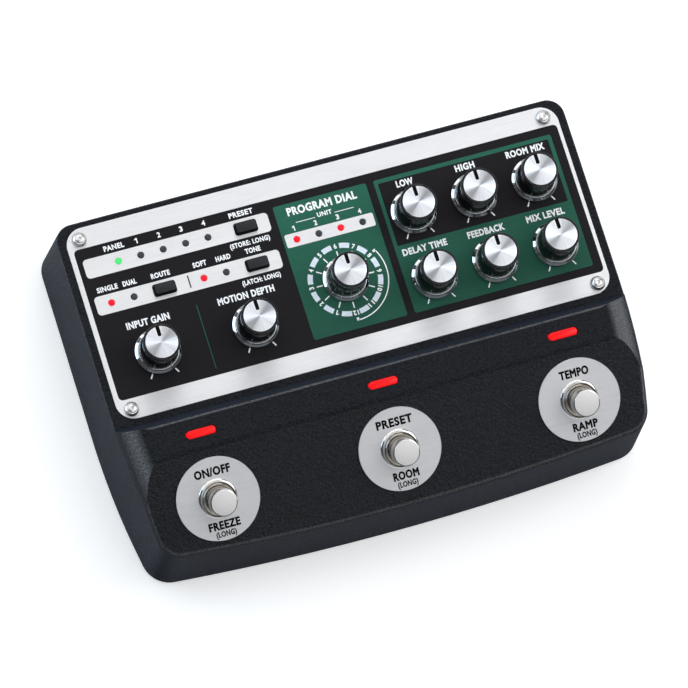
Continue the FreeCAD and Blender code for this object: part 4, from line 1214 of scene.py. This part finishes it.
@dataclass
class Knob:
    """A control knob: glossy body, stepped chrome skirt and spun cap with a pointer notch.

    Heights are over the plate. Flat rings next to a rounded edge keep the
    rounding's smooth shading off the flat faces beside it.
    """

    name: str
    gap: float = 0.7
    height: float = 13.1
    foot_radius: float = 6.9
    top_radius: float = 6.5
    skirt_radius: float = 8.1
    skirt_lip: float = 0.9
    skirt_height: float = 1.9
    cap_radius: float = 5.65
    cap_thickness: float = 0.5
    pointer_width: float = 1.3
    pointer_length: float = 3.55
    groove_drop: float = 2.2
    groove_depth: float = 0.25

    def build(self) -> None:
        """Model the three pieces on the knob's place."""
        place = at(*KNOB_PLACES[self.name], PANEL_TOP)
        body, trim = self.name + "_control", "trim_" + self.name
        hand_over(self._shell(), place, "knob_body_" + self.name, [KNOB_ABS, DULL_BLACK], body, "knob_black",
                  "knob_" + self.name)
        hand_over(self._skirt(), place, "knob_skirt_" + self.name, [CHROME], body, "knob_trim", trim)
        hand_over(self._cap(), place, "knob_cap_" + self.name, [CAP_ALUMINIUM, CAP_EDGE], body, "knob_trim",
                  trim)

    def _shell(self) -> bmesh.types.BMesh:
        """Turn the black body with its grip groove and the seat of the cap.

        Returns:
            A closed mesh, its seat in the second finish.
        """
        top, side, groove = self.height, self.top_radius, self.height - self.groove_drop
        sunk, rim, seat = side - self.groove_depth, self.cap_radius + 0.02, self.height - self.cap_thickness
        # The foot, the tapered side with its groove, the rim, then the seat
        shell = turned([
            (0.0, self.gap), (self.foot_radius, self.gap), (self.foot_radius, self.gap + self.skirt_height),
            (side, groove - 0.5), (sunk, groove - 0.42), (sunk, groove - 0.08), (side, groove),
            (side, top - 0.12), (side - 0.12, top), (side - 0.24, top), (rim + 0.08, top), (rim, top),
            (rim, seat), (0.0, seat)])
        soften(shell, 0.06, above=groove - 1.0)
        # The seat, seen through the cap's notch, takes the matte black: painted shade in the notch
        for face in shell.faces:
            middle = face.calc_center_median()
            if math.hypot(middle.x, middle.y) < self.cap_radius and abs(middle.z - seat) < 0.05:
                face.material_index = 1
        return shell

    def _skirt(self) -> bmesh.types.BMesh:
        """Turn the ring under the body.

        Returns:
            A closed mesh with a sloped outer lip and a raised inner bead.
        """
        inner = self.foot_radius + 0.02
        lip = self.gap + self.skirt_lip
        high = self.gap + self.skirt_height
        # The flat underside, the slope up from the lip, then the bead beside the body
        skirt = turned([
            (inner, self.gap), (self.skirt_radius, self.gap), (self.skirt_radius, lip - 0.45),
            (self.skirt_radius - 0.1, lip - 0.35), (inner + 0.34, lip + 0.06), (inner + 0.3, high - 0.14),
            (inner + 0.2, high), (inner, high), (inner, self.gap)])
        soften(skirt, 0.05, above=lip - 0.1)
        return skirt

    def _cap(self) -> bmesh.types.BMesh:
        """Cut and raise the cap, a disc with a round-ended notch from its rim towards the middle.

        Returns:
            A closed mesh, its flat top in the first finish.
        """
        cap = bmesh.new()
        bmesh.ops.create_circle(cap, cap_ends=True, segments=96, radius=self.cap_radius)
        half = self.pointer_width / 2
        end = self.cap_radius - self.pointer_length
        across, along = (1, 0, 0), (0, 1, 0)
        for point, normal in (((-half, 0, 0), across), ((half, 0, 0), across), ((0, end, 0), along)):
            bmesh.ops.bisect_plane(cap, geom=cap.verts[:] + cap.edges[:] + cap.faces[:], plane_co=point,
                                   plane_no=normal)
        notch = [face for face in cap.faces if abs(face.calc_center_median().x) < half
                 and face.calc_center_median().y > end]
        bmesh.ops.delete(cap, geom=notch, context="FACES")
        inside = [edge for edge in cap.edges if len(edge.link_faces) == 2]
        bmesh.ops.dissolve_edges(cap, edges=inside, use_verts=False, use_face_split=False)
        ends = [vert for vert in cap.verts
                if abs(abs(vert.co.x) - half) < 0.01 and abs(vert.co.y - end) < 0.01]
        bmesh.ops.bevel(cap, geom=ends, offset=half * 0.9, offset_type="OFFSET", affect="VERTICES",
                        segments=5, profile=0.5, material=-1)
        raise_faces(cap, cap.faces[:], self.cap_thickness)
        bmesh.ops.translate(cap, verts=cap.verts[:], vec=(0.0, 0.0, self.height - self.cap_thickness))
        soften(cap, 0.14, above=self.height - 0.01)
        bmesh.ops.inset_region(cap, faces=[face for face in cap.faces if face.normal.z > 0.99],
                               thickness=0.04, use_even_offset=True)
        for face in cap.faces:
            face.material_index = 0 if face.normal.z > 0.99 else 1
        bmesh.ops.triangulate(cap, faces=[face for face in cap.faces if len(face.verts) > 4])
        mark_turned(cap)
        return cap


@dataclass
class PlateScrews:
    """Four socket screws at the face plate's corners, each with a stepped crown."""

    reach: float = 85.7
    rows: Point = (55.23, -7.77)
    shank_radius: float = 1.5
    length: float = 8.0
    head_radius: float = 2.65
    head_height: float = 1.7
    edge_height: float = 0.6
    step_radius: float = 1.8
    socket_reach: float = 0.85
    socket_depth: float = 0.3
    drill_depth: float = 0.2

    def build(self) -> None:
        """Model one screw at each corner."""
        screws = bmesh.new()
        for y in self.rows:
            for x in (-self.reach, self.reach):
                absorb(screws, self._screw(), at(x, y, PANEL_TOP))
        hand_over(screws, at(0.0, 0.0), "plate_screws", [SCREW_NICKEL], CASE_BODY, "screw_chrome",
                  "face_plate_screws")

    def _screw(self) -> bmesh.types.BMesh:
        """Turn a screw and sink its socket.

        Returns:
            A closed mesh: domed rim, sunk ring, raised middle and six-sided socket with a drill point.
        """
        top, step = self.head_height, self.step_radius
        # The shank, the domed rim, the sunk ring, then the raised middle round the open socket
        screw = turned([
            (0.0, -self.length), (self.shank_radius, -self.length), (self.shank_radius, 0.0),
            (self.head_radius, 0.0), (self.head_radius, self.edge_height),
            (self.head_radius - 0.25, top - 0.55), (step + 0.15, top - 0.2), (step, top - 0.25),
            (step - 0.06, top - 0.5), (step - 0.24, top - 0.5), (step - 0.3, top - 0.22),
            (step - 0.38, top - 0.14)], 48)
        mouth = [edge for edge in screw.edges if len(edge.link_faces) == 1]
        lip = bmesh.ops.create_circle(screw, cap_ends=False, segments=6, radius=self.socket_reach,
                                      matrix=at(0.0, 0.0, top))["verts"]
        rim = [edge for edge in screw.edges if edge.verts[0] in lip and edge.verts[1] in lip]
        bmesh.ops.bridge_loops(screw, edges=mouth + rim)
        sunk = bmesh.ops.extrude_edge_only(screw, edges=rim)["geom"]
        floor = [part for part in sunk if isinstance(part, bmesh.types.BMVert)]
        bmesh.ops.translate(screw, verts=floor, vec=(0.0, 0.0, -self.socket_depth))
        loop = [part for part in sunk
                if isinstance(part, bmesh.types.BMEdge) and set(part.verts) <= set(floor)]
        seat = bmesh.ops.edgeloop_fill(screw, edges=loop)["faces"]
        bmesh.ops.poke(screw, faces=seat, offset=-self.drill_depth)
        bmesh.ops.recalc_face_normals(screw, faces=screw.faces[:])
        return screw


@dataclass
class PushButton:
    """A small rectangular push button with a chamfered top, its heights from the plate's printed side."""

    name: str
    width: float = 7.8
    depth: float = 4.0
    rise: float = 1.7
    low: float = -1.6
    corner: float = 0.8
    chamfer: float = 0.42
    flange: float = 0.9
    flange_thickness: float = 0.8
    stem_radius: float = 1.6
    stem_low: float = -3.6

    def build(self) -> None:
        """Model the button with its flange and stem."""
        button = slab(self.width, self.depth, self.rise - self.low, self.corner)
        bmesh.ops.translate(button, verts=button.verts[:], vec=(0.0, 0.0, self.low))
        soften(button, self.chamfer, self.rise - 0.01, segments=1)
        soften(button, 0.07, self.rise - 0.01)
        # The top keeps the button's plastic; its chamfer and sides take the matte black: painted shade
        for face in button.faces:
            face.material_index = 0 if face.calc_center_median().z > self.rise - 0.08 else 1
        under = self.low - self.flange_thickness
        collar = slab(self.width + 2 * self.flange, self.depth + 2 * self.flange, self.flange_thickness,
                      self.corner)
        absorb(button, collar, at(0.0, 0.0, under))
        stem = turned([(0.0, self.stem_low), (self.stem_radius, self.stem_low), (self.stem_radius, under),
                       (0.0, under)], 24)
        absorb(button, stem, at(0.0, 0.0))
        hand_over(button, at(*BUTTON_PLACES[self.name], PANEL_TOP), "push_" + self.name,
                  [BUTTON_ABS, DULL_BLACK], self.name, "button_black", self.name)


class LampState(Enum):
    """What a status lamp shows."""

    UNLIT = "unlit"
    RED = "red"
    GREEN = "green"


@dataclass
class StatusLamps:
    """The thirteen round lamps of the face plate, lit as the pedal shows them at rest.

    The rows hold each line's Y with the lamps' Xs, and lit names those that glow.
    """

    radius: float = 1.06
    rise: float = 0.3
    chamfer: float = 0.25
    collar: float = 0.6
    collar_top: float = -1.6
    low: float = -8.4
    rows: dict[float, tuple[float, ...]] = field(default_factory=lambda: {
        44.4: (-74.8, -66.62, -58.44, -50.26, -42.08),
        30.66: (-81.4, -73.22, -47.75, -39.57),
        35.55: (-12.15, -4.05, 4.05, 12.15)})
    lit: dict[Point, LampState] = field(default_factory=lambda: {
        (-74.8, 44.4): LampState.GREEN, (-81.4, 30.66): LampState.RED, (-47.75, 30.66): LampState.RED,
        (-12.15, 35.55): LampState.RED, (4.05, 35.55): LampState.RED})

    def build(self) -> None:
        """Model a light pipe at each place, one piece for each state."""
        finishes = {LampState.UNLIT: LAMP_SMOKE, LampState.RED: LAMP_RED, LampState.GREEN: LAMP_GREEN}
        places = [(x, y) for y, xs in self.rows.items() for x in xs]
        for state, finish in finishes.items():
            lamps = bmesh.new()
            for place in places:
                if self.lit.get(place, LampState.UNLIT) is state:
                    absorb(lamps, self._pipe(), at(*place, PANEL_TOP))
            hand_over(lamps, at(0.0, 0.0), "status_lamps_" + state.value, [finish], CASE_BODY, "lamp_lens",
                      "status_lamps")

    def _pipe(self) -> bmesh.types.BMesh:
        """Turn one light pipe.

        Returns:
            A closed mesh with a bevelled, slightly domed top.
        """
        wide = self.radius + self.collar
        # The collar behind the plate, then the pipe and its bevel
        return turned([
            (0.0, self.low), (wide, self.low), (wide, self.collar_top), (self.radius, self.collar_top),
            (self.radius, self.rise - self.chamfer), (self.radius - 0.08, self.rise - 0.1),
            (self.radius - self.chamfer, self.rise - 0.03), (self.radius * 0.4, self.rise),
            (0.0, self.rise)], 28)


@dataclass
class IndicatorBars:
    """Three lit red bars on the hump, one behind each footswitch."""

    xs: tuple[float, ...] = (-66.25, 0.0, 66.25)
    y: float = -23.5
    hump: float = 46.7
    width: float = 10.2
    depth: float = 2.5
    rise: float = 0.25
    wall: float = 2.5
    overlap: float = 0.2
    flange: float = 1.1
    flange_thickness: float = 1.0
    flange_corner: float = 0.8

    def build(self) -> None:
        """Model the three bars with their flanges under the wall."""
        bars = bmesh.new()
        under = self.hump - self.wall
        for x in self.xs:
            bar = slab(self.width, self.depth, self.wall + self.rise + self.overlap, self.depth / 2 - 0.01,
                       arc_steps=10)
            soften(bar, 0.14, above=self.wall + self.rise)
            absorb(bars, bar, at(x, self.y, under - self.overlap))
            flange = slab(self.width + 2 * self.flange, self.depth + 2 * self.flange, self.flange_thickness,
                          self.flange_corner)
            absorb(bars, flange, at(x, self.y, under - self.flange_thickness))
        hand_over(bars, at(0.0, 0.0), "indicator_bars", [BAR_RED], CASE_BODY, "indicator_red",
                  "indicator_lenses")


@dataclass
class Footswitch:
    """The dressed parts of one footswitch: disc, lettering, nut and plunger.

    They stand square on the foot shelf, with the disc's underside at zero. A
    line of the lettering is its Y and the height of its capitals.
    """

    name: str
    x: float
    upper: str
    upper_width: float
    lower: str
    lower_width: float
    hint: str = "(LONG)"
    y: float = -46.1
    plateau: float = 39.3
    tilt: float = 23.42
    disc_radius: float = 14.8
    disc_thickness: float = 0.5
    disc_bevel: float = 0.06
    bore_radius: float = 6.1
    nut_radius: float = 7.0
    nut_height: float = 2.0
    plunger_radius: float = 4.8
    plunger_rise: float = 9.3
    plunger_inside: float = 5.0
    chamfer: float = 0.4
    grooves: tuple[float, ...] = (2.6, 3.4, 4.2)
    groove_depth: float = 0.2
    groove_width: float = 0.55
    ink: float = 0.02
    upper_line: Point = (9.75, 3.1)
    lower_line: Point = (-9.3, 3.0)
    hint_line: Point = (-12.45, 2.05)
    hint_width: float = 7.4
    letter_weight: float = 0.06

    def build(self) -> None:
        """Model the disc, its lettering, the nut and the plunger on the sloped shelf."""
        place = at(self.x, self.y, self.plateau) @ Matrix.Rotation(math.radians(self.tilt), 4, "X")
        self._legend().hand_over("disc_lettering_" + self.name, place, "disc_print")
        hand_over(self._disc(), place, "switch_disc_" + self.name, [DISC_ALUMINIUM], CASE_BODY, "disc_print",
                  "switch_discs")
        hand_over(self._nut(), place, "switch_nut_" + self.name, [SWITCH_NICKEL, NUT_FACE], CASE_BODY,
                  "switch_nickel", "switch_nuts")
        node = "plunger_" + self.name
        hand_over(self._plunger(), place, "push_rod_" + self.name,
                  [SWITCH_NICKEL, PLUNGER_FACE, BUSHING_NICKEL], node, "plunger_nickel", node)

    def _legend(self) -> PrintSheet:
        """Print the disc.

        Returns:
            The word over the plunger, the one under it and the hint.
        """
        legend = PrintSheet(LEGEND_INK, self.disc_thickness, self.disc_thickness + self.ink)
        (upper_y, upper_cap), (lower_y, lower_cap), (hint_y, hint_cap) = (
            self.upper_line, self.lower_line, self.hint_line)
        legend.word(self.upper, (0.0, upper_y), upper_cap, self.upper_width, self.letter_weight)
        legend.word(self.lower, (0.1, lower_y), lower_cap, self.lower_width, self.letter_weight)
        legend.word(self.hint, (0.1, hint_y), hint_cap, self.hint_width)
        return legend

    def _disc(self) -> bmesh.types.BMesh:
        """Turn the aluminium disc.

        Returns:
            A closed mesh, its rim just broken.
        """
        top, rim = self.disc_thickness, self.disc_radius
        return turned([
            (self.bore_radius, 0.0), (rim, 0.0), (rim, top - self.disc_bevel), (rim - self.disc_bevel, top),
            (self.bore_radius, top), (self.bore_radius, 0.0)], 128)

    def _nut(self) -> bmesh.types.BMesh:
        """Turn the round nut.

        Returns:
            A closed mesh: a low polished flange and a collar up to the thread's end.
        """
        low, high = self.disc_thickness, self.disc_thickness + self.nut_height
        # The flange and its sloped edge, then the collar round the bore
        nut = turned([
            (self.bore_radius, low), (self.nut_radius, low), (self.nut_radius, low + 0.2),
            (self.nut_radius - 0.08, low + 0.3), (self.nut_radius - 0.65, low + 0.68),
            (self.bore_radius + 0.16, low + 0.7), (self.bore_radius + 0.12, high - 0.1),
            (self.bore_radius + 0.04, high), (self.bore_radius, high), (self.bore_radius, low)])
        for face in nut.faces:
            face.material_index = 1 if face.calc_center_median().z > low + 0.68 else 0
        return nut

    def _plunger(self) -> bmesh.types.BMesh:
        """Turn the push rod.

        Returns:
            A closed mesh with a faced top, a polished side and three aged grooves over the nut.
        """
        top = self.disc_thickness + self.plunger_rise
        side = self.plunger_radius
        deep, wide = self.groove_depth, self.groove_width
        grooves = [(side - inset, low + rise) for low in self.grooves
                   for inset, rise in ((0.0, 0.0), (deep, 0.15), (deep, wide - 0.15), (0.0, wide))]
        # The end inside the bushing, the grooves, then the softened rim of the top
        rod = turned([
            (0.0, -self.plunger_inside), (side, -self.plunger_inside), *grooves,
            (side, top - self.chamfer), (side - 0.12, top - 0.12), (side - self.chamfer, top - 0.01),
            (side - self.chamfer - 0.05, top), (0.0, top)])
        for face in rod.faces:
            height = face.calc_center_median().z
            if height > top - 0.01:
                face.material_index = 1
            elif self.grooves[0] - 0.1 < height < self.grooves[-1] + 0.6:
                face.material_index = 2
        return rod


# Studio

@dataclass
class Softbox:
    """A flat lamp that faces the object, its distance and size in metres.

    Along is the compass direction of its long side, in degrees from +X, and
    radiance is how bright its face is.
    """

    name: str
    direction: tuple[float, float, float]
    distance: float
    size: tuple[float, float]
    radiance: float
    along: float
    colour: tuple[float, float, float] = (1.0, 1.0, 1.0)

    def build(self, target: Vector) -> None:
        """Hang the lamp and aim it.

        Args:
            target: point that it faces, in metres.
        """
        data = bpy.data.lights.new(self.name, "AREA")
        data.shape = "RECTANGLE"
        data.size, data.size_y = self.size
        data.energy = self.radiance * math.pi * self.size[0] * self.size[1]
        data.color = self.colour
        lamp = bpy.data.objects.new(self.name, data)
        aim = Vector(self.direction).normalized()
        way = Matrix.Rotation(math.radians(self.along), 3, "Z") @ Vector((1.0, 0.0, 0.0))
        long_side = (way - aim * way.dot(aim)).normalized()
        short_side = long_side.cross(aim)
        lamp.location = target + aim * self.distance
        lamp.rotation_euler = Matrix((short_side, long_side, aim)).transposed().to_euler()
        lamp.visible_camera = False
        bpy.context.scene.collection.objects.link(lamp)


@dataclass
class Studio:
    """White sweep, soft lamps, dark surroundings and the camera of the photograph.

    The camera's place, in metres, its turn, in degrees, and its long lens were
    worked out from the printed lines and the round pieces in the photograph.
    """

    floor_reach: float = 5.0
    floor_gap: float = 0.00002
    target: tuple[float, float, float] = (0.0, 0.0, 0.03)
    lens: float = 301.12
    camera_place: tuple[float, float, float] = (-0.408745, -0.431868, 1.951675)
    camera_turn: tuple[float, float, float] = (15.28393, -7.60028, -17.40232)
    softboxes: list[Softbox] = field(default_factory=lambda: [
        Softbox("softbox_back_left", (-0.086, 0.607, 0.789), 1.3, (1.3, 2.2), 1.04, 30.0),
        Softbox("softbox_front_right", (0.432, -0.244, 0.867), 1.3, (1.3, 2.2), 1.1, 30.0),
        Softbox("softbox_back", (0.078, 0.888, 0.454), 1.5, (1.0, 1.6), 1.4, 0.0),
        Softbox("softbox_left", (-0.83, 0.48, 0.29), 1.5, (1.0, 1.2), 2.9, 60.0, colour=(0.64, 0.82, 1.0)),
        Softbox("softbox_right", (0.755, 0.066, 0.652), 1.5, (0.7, 1.1), 2.5, 5.0, colour=(0.86, 0.93, 1.0)),
        Softbox("fill_front", (-0.1, -0.93, 0.35), 1.6, (1.3, 2.4), 0.08, 0.0, colour=(0.85, 0.93, 1.0)),
    ])

    def build(self) -> None:
        """Set the floor, surroundings, lamps and camera."""
        self._floor()
        self._surroundings()
        for softbox in self.softboxes:
            softbox.build(Vector(self.target))
        self._camera()
        bpy.context.scene.view_settings.view_transform = "Standard"

    def _floor(self) -> None:
        """Lay the floor just under the rubber feet, so that the two faces don't meet."""
        mesh = bmesh.new()
        bmesh.ops.create_grid(mesh, x_segments=1, y_segments=1, size=self.floor_reach)
        bmesh.ops.translate(mesh, verts=mesh.verts, vec=(0.0, 0.0, -self.floor_gap))
        data = bpy.data.meshes.new("floor")
        mesh.to_mesh(data)
        mesh.free()
        data.materials.append(GROUND.make())
        floor = bpy.data.objects.new("floor", data)
        bpy.context.scene.collection.objects.link(floor)

    def _surroundings(self) -> None:
        """Shade the world: a dark room, whose horizon is white where the camera sees it."""
        world = bpy.data.worlds.new("studio")
        world.use_nodes = True
        tree = world.node_tree
        tree.nodes.clear()
        way = add_node(tree, "ShaderNodeTexCoord").outputs["Generated"]
        up = add_node(tree, "ShaderNodeSeparateXYZ", {"Vector": way}).outputs["Z"]
        room = add_node(tree, "ShaderNodeValToRGB", {"Fac": up}, stops=[
            (0.0, (0.7, 0.72, 0.75, 1.0)), (0.12, (0.4, 0.42, 0.45, 1.0)), (0.24, (0.07, 0.075, 0.085, 1.0)),
            (1.0, (0.06, 0.063, 0.07, 1.0))])
        seen = add_node(tree, "ShaderNodeLightPath").outputs["Is Camera Ray"]
        tone = add_node(tree, "ShaderNodeMix", {"Factor": seen, 6: room.outputs[0], 7: (1.0, 1.0, 1.0, 1.0)},
                        data_type="RGBA")
        light = add_node(tree, "ShaderNodeBackground", {"Color": tone.outputs[2], "Strength": 1.0})
        add_node(tree, "ShaderNodeOutputWorld", {"Surface": light.outputs[0]})
        bpy.context.scene.world = world

    def _camera(self) -> None:
        """Stand the camera at the photograph's viewpoint."""
        data = bpy.data.cameras.new("camera")
        data.sensor_width = 36.0
        data.lens = self.lens
        data.clip_start = 0.05
        data.clip_end = 50.0
        camera = bpy.data.objects.new("camera", data)
        camera.location = self.camera_place
        camera.rotation_euler = Euler([math.radians(turn) for turn in self.camera_turn], "XYZ")
        bpy.context.scene.collection.objects.link(camera)
        bpy.context.scene.camera = camera


def main() -> None:
    """Build every sub-assembly in order and report it."""
    logging.basicConfig(level=logging.INFO, format="%(name)s: %(message)s")
    CarriedNodes().build()
    FacePrint().build()
    PlateScrews().build()
    for name in KNOB_PLACES:
        Knob(name).build()
    for name in BUTTON_PLACES:
        PushButton(name).build()
    StatusLamps().build()
    IndicatorBars().build()
    Footswitch("left", -66.25, "ON/OFF", 13.0, "FREEZE", 11.4).build()
    Footswitch("middle", 0.0, "PRESET", 13.2, "ROOM", 9.4).build()
    Footswitch("right", 66.25, "TEMPO", 10.8, "RAMP", 9.2).build()
    Studio().build()


if __name__ == "__main__":
    main()
